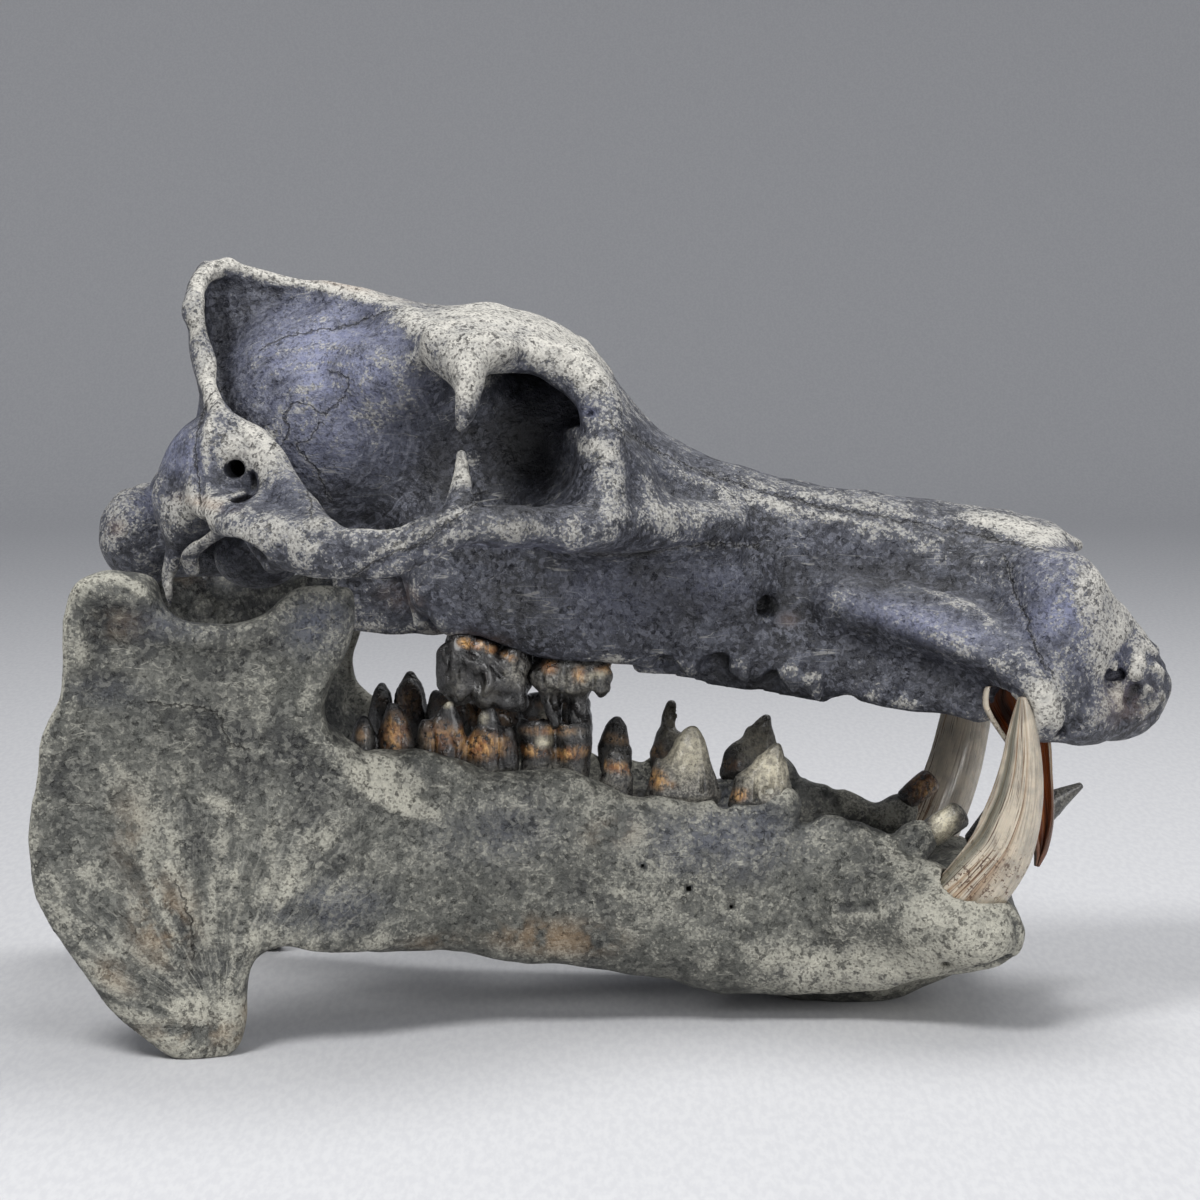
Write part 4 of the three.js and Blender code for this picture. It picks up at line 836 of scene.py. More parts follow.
def net_faces(field, name):
    """One face round each crossed grid edge, turned to face away from the inside."""
    inside = field < 0
    faces = []
    for axis in range(3):
        first = np.take(inside, range(field.shape[axis] - 1), axis)
        second = np.take(inside, range(1, field.shape[axis]), axis)
        edges = np.argwhere(first != second)
        u, v = (axis + 1) % 3, (axis + 2) % 3
        for side in (u, v):
            edges = edges[(edges[:, side] > 0) & (edges[:, side] < name.shape[side])]
        ring = []
        for du, dv in ((1, 1), (0, 1), (0, 0), (1, 0)):
            cube = edges.copy()
            cube[:, u] -= du
            cube[:, v] -= dv
            ring.append(name[tuple(cube.T)])
        ring = np.stack(ring, 1)
        outward = first[tuple(edges.T)]
        ring[~outward] = ring[~outward][:, ::-1]
        faces.append(ring)
    return np.concatenate(faces)


def largest_piece(count, faces):
    """Marks the faces of the largest connected skin, by passing the lowest name along the faces."""
    name = np.arange(count)
    while True:
        lowest = name[faces].min(1)
        new = name.copy()
        np.minimum.at(new, faces.ravel(), np.repeat(lowest, faces.shape[1]))
        new = new[new]
        if np.array_equal(new, name):
            break
        name = new
    names, sizes = np.unique(name[faces[:, 0]], return_counts=True)
    return name[faces[:, 0]] == names[sizes.argmax()]


def skin(bone, rounds=4):
    """Points in mm and four-sided faces of the bone's skin."""
    points, name = net_points(bone.depth)
    faces = net_faces(bone.depth, name)
    faces = faces[largest_piece(len(points), faces)]
    used, faces = np.unique(faces, return_inverse=True)
    points, faces = points[used], faces.reshape(-1, 4)
    a, b = np.concatenate([faces, np.roll(faces, -1, axis=1)], axis=0).reshape(2, -1)
    degree = np.bincount(a, minlength=len(points))
    for _ in range(rounds):
        total = np.stack([np.bincount(a, points[b, i], len(points)) for i in range(3)], 1)
        points = points + 0.5 * (total / degree[:, None] - points)
        for _ in range(2):
            depth, slope = sample(bone.depth, points)
            step = (depth / np.maximum((slope ** 2).sum(1), 1e-3))[:, None] * slope
            size = np.linalg.norm(step, axis=1, keepdims=True)
            points = points - step * np.minimum(1, 0.4 / np.maximum(size, 1e-9))
    return points * bone.step + np.array([q[0] for q in bone.axes]), faces


def mesh_piece(name, points, faces, caps=()):
    """A smooth object at the origin from points in mm, four-sided faces, and caps with more sides."""
    mesh = bpy.data.meshes.new(name)
    mesh.from_pydata(((points - [CENTRE_X, 0, 0]) * MM).tolist(), [], faces.tolist() + list(caps))
    mesh.validate()
    mesh.polygons.foreach_set("use_smooth", np.ones(len(mesh.polygons), bool))
    piece = bpy.data.objects.new(name, mesh)
    bpy.context.collection.objects.link(piece)
    return piece

# %% [markdown]
# ## Thinning the mesh
# The net gives the same small faces on a flat plate as on a splinter. Decimate merges points where the
# skin is flat, so the piece stays light and keeps its detail. Its result is taken as the piece's own
# mesh, because the painting below needs to know where every point ended.

# %% Bones
MOST_FACES = 192000        # triangles in one piece


def thinned(piece):
    """Collapses edges until the triangle count is at most MOST_FACES, and keeps the resulting mesh."""
    count = 2 * len(piece.data.polygons)
    if count > MOST_FACES:
        thin = piece.modifiers.new("thin", "DECIMATE")
        thin.ratio = MOST_FACES / count
        view = bpy.context.evaluated_depsgraph_get()
        mesh = bpy.data.meshes.new_from_object(piece.evaluated_get(view))
        piece.modifiers.remove(thin)
        piece.data = mesh
        mesh.name = piece.name
        mesh.polygons.foreach_set("use_smooth", np.ones(len(mesh.polygons), bool))
    return piece


def sits(piece, node):
    """Ties a piece to the frame: it dresses the solid called node, which is hidden."""
    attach(piece, "root")
    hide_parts(node)
    print(piece.name, len(piece.data.polygons), "faces", round(time.time() - started), "s")
    return piece


cranium_field = lay_down_cranium()
cranium = sits(thinned(mesh_piece("cranium_bone", *skin(cranium_field))), "cranium")
jaw_field = lay_down_jaw()
jaw = sits(thinned(mesh_piece("jaw_bone", *skin(jaw_field))), "mandible")

# %% [markdown]
# ## Where the colours go
# Fossil bone takes its colour from the ground: minerals stain it dark, and a pale crust of lime grows
# on what faced up, thickest on edges. The finish below needs to know those places, so each point of the
# mesh carries a few numbers: how much crust, violet, ochre or shadow it has, how far it is from the
# nearest seam, and where it lies in the fan of a muscle scar. The places are named spots and lines with
# sizes in millimetres. The rest is worked out from the field itself.

# %% Numbers on a mesh
def keep(piece, label, values):
    """Stores one number for each point of the mesh."""
    layer = piece.data.attributes.new(label, "FLOAT", "POINT")
    layer.data.foreach_set("value", np.ascontiguousarray(values, np.float32).ravel())


def places(piece):
    """The mesh points in millimetres, as the sizes in this lesson are."""
    flat = np.empty(len(piece.data.vertices) * 3, np.float32)
    piece.data.vertices.foreach_get("co", flat)
    return flat.reshape(-1, 3).astype(float) / MM + [CENTRE_X, 0, 0]


def box_mean(field, reach):
    """The mean over a box of reach points each way, from running sums along each axis."""
    for axis in range(3):
        edges = [(0, 0)] * 3
        edges[axis] = (reach + 1, reach)
        total = np.cumsum(np.pad(field, edges, mode="edge"), axis=axis, dtype=np.float64)
        n = field.shape[axis]
        after = np.take(total, range(2 * reach + 1, 2 * reach + 1 + n), axis)
        field = ((after - np.take(total, range(n), axis)) / (2 * reach + 1)).astype(np.float32)
    return field


def bulge(bone, points, reach):
    """
    About 1 on a sharp edge and -1 in a tight hollow: the mean depth around each point less its own,
    over 0.3 * reach. Also returns the way the surface faces there.
    """
    near = np.clip(bone.depth, -12, 12)
    blurred = box_mean(near, max(1, round(reach / bone.step)))
    grid = (points - [a[0] for a in bone.axes]) / bone.step
    mean, _ = sample(blurred, grid)
    depth, slope = sample(bone.depth, grid)
    slope = slope / np.maximum(np.linalg.norm(slope, axis=1, keepdims=True), 1e-6)
    return np.clip((mean - depth) / (0.3 * reach), -1, 1), slope


FADE = 1.35                # a spot is gone at this many times its half size


def spotted(points, spots):
    """The strongest of several soft spots (x, z, half length, half height, tilt, strength)."""
    x, z = points[:, 0], points[:, 2]
    return np.max([spot(x, 0, z, (cx, 0, cz), (rx * FADE, 1, rz * FADE), tilt) * strength
                   for cx, cz, rx, rz, tilt, strength in spots], axis=0)


def seam_distance(points, lines, reach=5.0):
    """
    Distance in mm to the nearest line, plus on one side and minus on the other so that it can be drawn
    sharp between mesh points, and a share that is 1 near the line and 0 beyond reach or past its ends.
    """
    p = points[:, [0, 2]]
    nearest, signed, here = np.full(len(p), 1e9), np.full(len(p), 1e3), np.zeros(len(p))
    for line in lines:
        line = smooth_path(line, steps=3)
        for number, (a, b) in enumerate(zip(line[:-1], line[1:])):
            e = b - a
            t = ((p - a) @ e) / (e @ e)
            held = np.clip(t, 0, 1)
            away = p - a - held[:, None] * e
            distance = np.hypot(away[:, 0], away[:, 1])
            side = np.sign(e[0] * away[:, 1] - e[1] * away[:, 0])
            closer = distance < nearest
            past = ((t < 0) & (number == 0)) | ((t > 1) & (number == len(line) - 2))
            nearest = np.where(closer, distance, nearest)
            signed = np.where(closer, np.where(side == 0, 1, side) * distance, signed)
            here = np.where(closer, np.where(past, smooth_step(2, 0, distance), 1), here)
    return np.clip(signed, -20, 20), here * smooth_step(reach, reach * 0.5, nearest)

# %% [markdown]
# ## The places on the cranium
# Each spot has the x and z of its middle, its half length and half height in millimetres, a tilt in
# degrees and a strength. Crust lies on the brow, the crest, the arch and the muzzle's front. Violet
# sits on the braincase and ochre in a few runs where iron seeped. Shade is painted shade in the orbit,
# behind it and under the arch, and a darker tone along the muzzle's side. The sutures of an adult skull
# have nearly closed, so only a few seams are drawn.

# %% Spots and seams of the cranium
CRANIUM_SPOTS = {
    "crust": [
        (-44, 313, 49, 12, -4, 1.0), (-17, 299, 33, 15, -25, 1.0), (-54, 294, 18, 20, -60, 1.2),
        (-58, 250, 6, 14, 90, 0.75), (-3, 257, 7, 19, 80, 0.6), (-34, 225, 34, 8, 0, 0.38),
        (22, 234, 33, 17, -15, 0.42), (89, 230, 89, 12, -8, 0.5), (188, 218, 40, 7, -12, 1.0),
        (220, 193, 20, 26, -50, 0.8), (224, 174, 26, 44, -12, 0.85), (-116, 270, 48, 34, 0, 0.34),
        (220, 160, 9, 6, 0, 1.1), (205, 165, 14, 34, 0, 0.4), (238, 149, 20, 22, 0, 0.5),
        (191, 147, 11, 13, 0, 0.9), (-126, 219, 25, 18, -20, 0.42), (-75, 222, 33, 11, 20, 0.33),
        (-149, 255, 19, 16, -45, 0.9), (-178, 231, 13, 18, 80, 0.85), (-77, 294, 10, 11, 0, 0.8),
        (-75, 310, 27, 10, -10, 0.8), (-127, 328, 59, 5, -13, 0.9), (110, 160, 30, 14, -8, 0.3),
        (4, 162, 13, 6, 0, 0.6), (-214, 218, 13, 18, 0, 0.25), (150, 206, 53, 13, -15, 0.35),
        (27, 268, 27, 10, -35, 0.6)],
    "violet": [
        (-118, 292, 46, 34, 0, 1.0), (-120, 262, 38, 26, 0, 0.55), (-42, 216, 38, 5, 0, 0.35),
        (9, 191, 35, 18, 0, 0.22), (140, 180, 39, 8, -15, 0.7), (205, 187, 24, 32, 0, 0.85),
        (-4, 274, 6, 5, 0, 0.7), (222, 172, 20, 34, 0, 0.6), (-186, 259, 13, 22, 60, 0.8),
        (-201, 231, 18, 9, 30, 0.5), (44, 193, 26, 13, 0, 0.25)],
    "ochre": [
        (-168, 235, 3, 17, 85, 0.8), (-123, 329, 41, 3, -14, 0.7), (-86, 188, 7, 15, 90, 0.6),
        (84, 179, 6, 4, 0, 0.5), (231, 144, 15, 13, 0, 0.55), (-214, 220, 6, 5, 0, 0.6),
        (-59, 171, 22, 4, 0, 0.6)],
    # Painted shade in the orbit, behind it and under the arch; a darker tone along the muzzle's side.
    "shade": [
        (-119, 244, 40, 24, 0, 0.6), (-33, 189, 48, 22, 0, 0.85), (-33, 256, 28, 36, 0, 1.5),
        (149, 154, 35, 13, -25, 0.8), (114, 198, 48, 12, -12, 0.75), (62, 151, 50, 11, -6, 1.1),
        (238, 149, 6, 10, 30, 0.8), (226, 138, 7, 3, 0, 0.7), (-70, 264, 11, 26, 90, 0.6),
        (-165, 308, 11, 36, 80, 0.5), (-149, 204, 26, 13, 0, 0.8), (-73, 246, 12, 30, 0, 1.0),
        (-96, 236, 20, 8, 0, 0.6), (90, 182, 80, 16, -12, 0.6), (30, 190, 64, 26, -6, 0.85),
        (40, 168, 90, 16, -6, 0.6), (120, 164, 60, 16, -8, 0.6), (-34, 222, 36, 8, 0, 0.2),
        (-98, 213, 34, 11, 0, 0.35), (66, 194, 46, 12, -10, 0.4)],
}
CRANIUM_SEAMS = [
    [(-167, 281), (-170, 277), (-172, 265), (-173, 254), (-171, 243), (-170, 234), (-168, 226),
     (-166, 221)],
    [(-107, 203), (-99, 209), (-90, 215), (-79, 219), (-67, 226), (-61, 231), (-51, 236)],
    [(-140, 257), (-137, 263), (-139, 270), (-133, 275), (-126, 273), (-123, 268), (-127, 260),
     (-133, 256), (-125, 246), (-120, 232)],
    [(-123, 268), (-113, 277), (-110, 286), (-119, 289)],
    [(-150, 298), (-133, 305), (-113, 308), (-98, 314), (-89, 316)],
    NASAL_SUTURE, PREMAXILLA_SUTURE, CHEEK_SUTURE,
]

print("cranium:", {label: len(spots) for label, spots in CRANIUM_SPOTS.items()}, "spots")

# %% [markdown]
# ## The places on the lower jaw
# The lower jaw is more olive than the cranium, with rust along its lower edge. Its crust is thickest on
# the chin, at the foot of the plate and over the angle. Painting by hand on the mesh would also do, but
# a list of spots can be read, moved and used again when the mesh changes.

# %% Spots and seams of the lower jaw
JAW_SPOTS = {
    "crust": [
        (-208, 200, 21, 9, 0, 0.35), (-208, 173, 17, 25, 80, 0.35), (-167, 19, 29, 11, -8, 1.0),
        (-93, 112, 28, 12, -38, 1.35), (-133, 73, 19, 10, 55, 0.75), (-158, 105, 19, 8, -25, 0.6),
        (-202, 121, 14, 4, -60, 0.6), (-198, 90, 15, 3, -70, 0.4), (-180, 78, 14, 4, -62, 0.5),
        (-170, 75, 14, 4, -66, 0.5), (-120, 91, 16, 9, 35, 0.7), (101, 28, 48, 15, -6, 1.0),
        (156, 49, 35, 16, -15, 0.7), (162, 41, 26, 9, 25, 0.6), (9, 61, 7, 5, 0, 0.9),
        (22, 101, 53, 7, -10, 0.4), (0, 88, 96, 26, -10, 0.25), (-152, 189, 7, 4, 30, 0.9),
        (40, 30, 48, 13, -8, 0.3), (-149, 151, 25, 34, 0, 0.3), (10, 62, 190, 46, -8, 0.42),
        (125, 22, 66, 28, -4, 1.15), (160, 40, 30, 32, 0, 0.9), (-175, 75, 60, 100, 0, 0.38),
        (-92, 113, 24, 9, -38, 0.5), (131, 75, 26, 11, -30, 0.45), (75, 107, 13, 7, -20, 0.9)],
    "violet": [
        (-120, 183, 19, 17, 0, 0.8), (53, 85, 48, 22, 0, 0.6), (-116, 61, 26, 13, 0, 0.6),
        (-44, 89, 35, 17, 0, 0.35), (-179, 185, 26, 9, 0, 0.5), (111, 21, 40, 6, -4, 0.6),
        (-209, 156, 8, 21, 80, 0.3)],
    "ochre": [
        (-186, 58, 16, 22, 10, 1.0), (-22, 42, 34, 10, -6, 1.2), (-200, 96, 10, 22, 0, 0.4),
        (-167, 10, 33, 7, -4, 0.7), (-149, 17, 5, 7, 0, 0.9), (-205, 36, 13, 7, -40, 0.6),
        (-74, 41, 17, 5, 0, 0.5), (5, 87, 15, 7, 0, 0.5), (-202, 185, 14, 8, 0, 0.5)],
    # Painted shade on the upright under the cheek arch, at the knob of the joint and in a few hollows.
    "shade": [
        (-185, 140, 60, 60, 0, 0.3), (-208, 196, 20, 14, 0, 0.3), (-215, 164, 5, 21, 88, 0.7),
        (-116, 57, 30, 10, -4, 0.7), (-227, 99, 6, 46, 88, 0.35), (-52, 63, 39, 17, 0, 0.4),
        (-170, 160, 25, 17, 0, 0.35), (115, 95, 44, 10, -6, 0.7), (-37, 95, 26, 7, 0, 0.3)],
}
JAW_SEAMS = [
    JAW_CRACK,
    [(-180, 75), (-176, 65), (-173, 52), (-173, 43)],
]


print("lower jaw:", {label: len(spots) for label, spots in JAW_SPOTS.items()}, "spots")

# %% [markdown]
# ## Painting
# Now the lists become numbers at each point. Crust also gathers on edges and on what faces up, and
# hollows are darkened as painted shade. Both are read from the field, by comparing the depth at a point
# with the mean depth round it. The muscle scars spread like a fan, so a point also keeps its turn and
# reach from the apex.

# %% Painting the bones
def near_rope(points, rope, reach=5.2):
    """1 on a rope of (x, |y|, z) points and 0 beyond reach from it."""
    rope = smooth_path([p[:3] for p in rope], steps=3)
    here = points * [1, 0, 1] + np.abs(points) * [0, 1, 0]
    nearest = np.full(len(points), 1e9)
    for a, b in zip(rope[:-1], rope[1:]):
        e = b - a
        t = np.clip(((here - a) @ e) / (e @ e), 0, 1)[:, None]
        nearest = np.minimum(nearest, np.linalg.norm(here - a - t * e, axis=1))
    return smooth_step(reach, reach * 0.6, nearest)


def paint_bone(piece, bone, spots, seams, fan_apex, fan_reach, fan_out, rope, rope_crust):
    """Stores what the finish reads. fan_out is the range of |y| of the scar, rope an edge in crust."""
    points = places(piece)
    fine, slope = bulge(bone, points, 4)
    broad, _ = bulge(bone, points, 12)
    crust = spotted(points, spots["crust"]) + 0.15 * slope[:, 2] + 0.4 * np.clip(fine, -0.5, 0.7)
    crust = np.maximum(crust, rope_crust * near_rope(points, rope))
    keep(piece, "crust", np.clip(crust, 0, 1.3))
    for label in ("violet", "ochre", "shade"):
        keep(piece, label, spotted(points, spots[label]))
    # hollow is 1 in tight hollows: the finish paints shade there and lays less crust.
    keep(piece, "hollow", np.clip(-0.6 * fine - 0.6 * broad, -1, 1))
    signed, here = seam_distance(points, seams)
    keep(piece, "seam_mm", signed)
    keep(piece, "seam_near", here)
    dx, dz = points[:, 0] - fan_apex[0], points[:, 2] - fan_apex[1]
    reach = np.hypot(dx, dz)
    keep(piece, "fan_turn", np.arctan2(dx, dz))
    keep(piece, "fan_reach", reach)
    side = np.abs(points[:, 1])
    within = smooth_step(fan_out[0] - 8, fan_out[0], side) * smooth_step(fan_out[1] + 8, fan_out[1], side)
    keep(piece, "fan", smooth_step(fan_reach, fan_reach * 0.6, reach) * smooth_step(4, 20, reach) * within)


paint_bone(cranium, cranium_field, CRANIUM_SPOTS, CRANIUM_SEAMS, (-124, 262), 66, (0, 62), RIM, 1.05)
jaw_edge = [(JAW_PLATE[i][0], JAW_ANGLE_HALF - 6, JAW_PLATE[i][1]) for i in range(3, -9, -1)]
paint_bone(jaw, jaw_field, JAW_SPOTS, JAW_SEAMS, (-161, 14), 120, (84, 200), jaw_edge, 0.75)
print("painted after", round(time.time() - started), "s")

# %% [markdown]
# ## Cheek teeth
# A cheek tooth is a bundle of cones that have grown together, worn down from the top. Each is made in
# its own small field with points 0.7 mm apart: upright bars for the cones, soft cuts for the grooves
# between them and for worn or broken places. The same recipe serves both sides of the skull, with
# other noise, and the stumps that differ are listed by themselves.

# %% Tooth kit
def cone(x, s, base, top, length, width, lean=0.0, tip=0.35, belly=1.0):
    """An upright spindle from base to top: half the size at the neck, belly above it, tip at the end."""
    rise = top - base
    return bar((x, s, base, width * 0.46, length * 0.46),
               (x + lean * 0.35, s, base + rise * 0.4, width * 0.5 * belly, length * 0.5 * belly),
               (x + lean * 0.75, s, base + rise * 0.78, width * 0.5 * (0.5 + tip / 2),
                length * 0.5 * (0.5 + tip / 2)),
               (x + lean, s, top - width * tip * 0.3, width * 0.5 * tip, length * 0.5 * tip))


def groove(x, s, low, high, size, deep):
    """A furrow down the cheek side of a tooth."""
    return bar((x, s, low, deep, size), (x, s, high, deep, size * 0.8))


def blade(outline, s, low, high, thick=7.6):
    """A premolar from its side outline: thin at the edge, thickest within, and less to the top."""
    def half(x, z, inside):
        return np.minimum(0.8 + 1.15 * inside, thick * (1 - 0.72 * np.clip((z - low) / (high - low), 0, 1)))
    return sheet("side", outline, lambda x, z: s + 0 * x * z, half, 1.5)


TEETH = {
    # name: (node, middle x, distance out, low z, high z, adds, cuts)
    "upper_molar_2": ("cranium", -51, 47, 132, 182,
        [(egg((-62, 50, 159), (10.5, 9.5, 15)), 2), (egg((-51, 52, 157), (9, 9, 15)), 2),
         (egg((-40, 50, 154), (9.5, 9.5, 14.5), -8), 2), (egg((-51, 40, 162), (18, 9, 18)), 4),
         (egg((-63, 51, 147), (6, 7, 5.5)), 2), (egg((-51, 53, 147), (5, 6, 5)), 2),
         (egg((-38.5, 51, 144), (6.5, 7, 5.5)), 2)],
        [(groove(-56.5, 63, 140, 168, 1.5, 4), 1.2), (groove(-45.5, 63, 138, 164, 1.4, 4), 1.2),
         (groove(-34, 60, 146, 162, 1.1, 3), 1), (groove(-66, 60, 150, 164, 1.1, 3), 1),
         (bar((-61, 61, 164, 3, 2.4), (-60, 61, 152, 4, 3)), 1), (egg((-52, 62, 152), (3, 4, 5.5)), 1),
         (bar((-47, 62, 162, 3, 2), (-43, 60, 156, 3, 2.4)), 1), (egg((-40, 60, 146), (3, 3, 2.6)), 1),
         (bar((-55, 62, 169, 2, 1.2), (-42, 61, 164, 2, 1.4)), 1), (egg((-65, 58, 145), (2.4, 3, 2.4)), 1)]),
    "upper_molar_1": ("cranium", -13, 46, 128, 176,
        [(egg((-13, 50, 154.5), (18.5, 10, 8.5)), 2), (egg((-13, 42, 158), (17, 10, 12)), 3),
         (egg((0, 50, 152), (5, 7, 8)), 2),
         (bar((-22, 47, 156, 8, 6), (-21, 47, 144, 7, 4.5), (-19.5, 47, 134.5, 5.5, 3)), 2),
         (bar((-9, 47, 156, 8, 7), (-10, 47, 144, 7, 6.5), (-9.5, 47, 134.5, 6, 5)), 2)],
        [(groove(-17, 61, 144, 166, 1.6, 4), 1.5), (groove(-3, 60, 144, 164, 1.3, 3.6), 1.2),
         (groove(-25, 59, 146, 160, 1.1, 3), 1.2), (groove(-10, 60, 150, 164, 1, 2.4), 1),
         (egg((-15.5, 50, 138), (3, 14, 8)), 2), (egg((-9, 54, 141), (3, 4, 4)), 1),
         (egg((-20, 54, 143), (2.6, 4, 4)), 1), (egg((-6, 60, 155), (3, 3, 2.6)), 1),
         (egg((-21, 60, 157), (3.4, 3, 2)), 1), (egg((3, 57, 146), (4, 5, 2.4)), 1)]),
    "lower_molar_3": ("mandible", -97, 60, 108, 150,
        [(cone(-104.5, 62, 114, 137.5, 12, 12, 1, 0.4), 3), (cone(-104, 54, 114, 136, 12, 11, 0, 0.4), 3),
         (cone(-90, 61, 114, 143, 17, 13, 0, 0.3), 3), (cone(-90, 53, 114, 140, 15, 12, 0, 0.3), 3)],
        [(groove(-97.5, 68, 112, 136, 1.2, 4), 1.5), (groove(-86, 68, 118, 136, 0.9, 2), 1.2)]),
    "lower_molar_2": ("mandible", -58, 52, 104, 148,
        [(egg((-70, 52, 122), (11.5, 10, 15)), 2), (egg((-48.5, 51, 120), (12, 10, 15)), 2),
         (cone(-67, 55, 118, 144, 14, 10, 1, 0.3), 3.5), (cone(-68, 47, 118, 140, 14, 10, 1, 0.3), 3),
         (cone(-49, 54, 118, 141, 14, 10, 0, 0.42), 3.5), (cone(-49, 46, 118, 138, 14, 10, 0, 0.4), 3),
         (cone(-77, 54, 116, 135, 8, 9, 0, 0.5), 2), (cone(-40, 53, 114, 133, 8, 9, 0, 0.5), 2)],
        [(groove(-58.8, 64, 108, 138, 1.5, 5), 1.5), (groove(-73, 62, 118, 136, 1, 2.5), 1.2),
         (groove(-62.5, 62, 118, 138, 1, 2.5), 1.2), (groove(-43.5, 61, 114, 136, 1, 2.5), 1.2),
         (groove(-54, 62, 122, 138, 0.9, 2), 1), (egg((-48, 61, 133), (3, 3.4, 2.4)), 1),
         (egg((-58, 51, 141), (3, 14, 6)), 2)]),
    "lower_molar_1": ("mandible", -21, 46, 100, 140,
        [(bar((-28, 46, 108, 8, 7.2), (-27.5, 46, 120, 10, 8), (-27.5, 46, 130, 9.5, 8.4)), 2.5),
         (bar((-12.5, 46, 108, 8, 7.2), (-12, 46, 120, 10, 8), (-12, 46, 130, 9.5, 8.4)), 2.5)],
        [(groove(-20.6, 58, 106, 134, 1.5, 4.5), 2), (egg((-20, 46, 139.4), (24, 13, 6)), 0.8),
         (egg((-28, 44, 133), (5, 6, 4)), 2), (egg((-12, 44, 133), (5, 6, 4)), 2)]),
    "lower_premolar_4": ("mandible", 7, 46, 96, 126,
        [(cone(6.6, 46, 100, 123, 16.5, 13, 1.2, 0.3, 0.92), 3)],
        [(groove(3, 53.5, 106, 120, 0.8, 1.6), 1)]),
    "lower_premolar_3": ("mandible", 37, 46, 94, 136,
        [(blade([(21, 98), (21.5, 108), (25, 117.5), (27.5, 117), (31, 122), (36.5, 130), (40, 132.5),
                 (43, 132), (46, 127), (48.5, 118), (51.5, 109), (52, 98)], 46, 103, 132), 2)],
        [(groove(33, 53, 106, 122, 1.0, 1.6), 1.2), (groove(45, 52.5, 104, 120, 1.0, 1.4), 1.2),
         (bar((23, 54, 110, 2, 1), (31, 55, 107, 2, 1), (38, 55.5, 112, 2, 1), (46, 55, 109, 2, 1),
              (50, 54, 104, 2, 1)), 1)]),
    "lower_premolar_2": ("mandible", 72, 46, 90, 128,
        [(blade([(57.5, 95), (58, 103), (60.5, 110), (66, 114.5), (71, 119), (77, 124.5), (80, 124.5),
                 (81.5, 118), (83, 110), (85, 104), (85, 95)], 46, 100, 125), 2)],
        [(groove(69, 52.5, 100, 113, 1, 1.8), 1.2), (egg((80.5, 52.5, 108), (2.4, 3, 3.2)), 1.2),
         (groove(76, 52, 104, 119, 0.8, 1.6), 1), (egg((74, 53.5, 104), (3, 3, 2)), 1)]),
}


# The third left lower premolar broke to a hollow spike.
BROKEN_LEFT = {
    "lower_premolar_3": ("mandible", 36, 46, 94, 136,
        [(cone(36, 46, 99, 118, 26, 14, 0, 0.5), 3), (cone(33, 46, 108, 131, 10, 9, 0.5, 0.45), 3)],
        [(egg((33.5, 43, 124), (2.6, 5, 6)), 1), (egg((42, 46, 120), (6, 9, 4)), 1.5)]),
}


def tooth(name, side, seed):
    """Builds a tooth on one side: side is -1 for the right (-Y) and 1 for the left."""
    node, x, s, low, high, adds, cuts = (BROKEN_LEFT if side > 0 else {}).get(name) or TEETH[name]
    reach = 26 if "molar_2" in name else 20
    field = Bone((x - reach, s - 19, low), (x + reach, s + 19, high), TOOTH_GRID)
    for shape, blend in adds:
        field.add(shape, blend)
    for shape, blend in cuts:
        field.cut(shape, blend)
    worn = 2.2 if name.startswith("upper") else 1.0
    roughen(field, cell=6, size=0.35 * worn, seed=seed)
    roughen(field, cell=3, size=0.22 * worn, seed=seed + 1)
    points, faces = skin(field, rounds=2)
    points = points * [1, side, 1]
    if side < 0:
        faces = faces[:, ::-1]
    piece = mesh_piece(name + ("_right" if side < 0 else "_left"), points, faces)
    return sits(piece, node)

# %% [markdown]
# Eight kinds of cheek tooth are still in place: two upper molars, three lower molars and three lower
# premolars. Each is built for the right side and then for the left, with its own noise.

# %% The cheek teeth
TOOTH_GRID = 0.65      # mm between the points of a tooth's field
teeth = {}
for number, name in enumerate(TEETH):
    for side in (-1, 1):
        piece = tooth(name, side, 100 + 10 * number + side)
        teeth[piece.name] = piece

# %% [markdown]
# ## Tusks and front teeth
# A tusk is a curved tooth that never stops growing, so its section hardly changes along its length. It
# is a grid of two parameters: how far along the curve, and how far round. The section is an oval that
# is flat where it rubs against the tusk above, with a shallow groove down the outer face.

# %% Swept teeth
def ring_faces(rings, around):
    """Four-sided faces between rings of around points each, with the last point joined to the first."""
    i, j = np.meshgrid(np.arange(rings - 1), np.arange(around), indexing="ij")
    k = (j + 1) % around
    faces = [i * around + j, i * around + k, (i + 1) * around + k, (i + 1) * around + j]
    return np.stack(faces, -1).reshape(-1, 4)


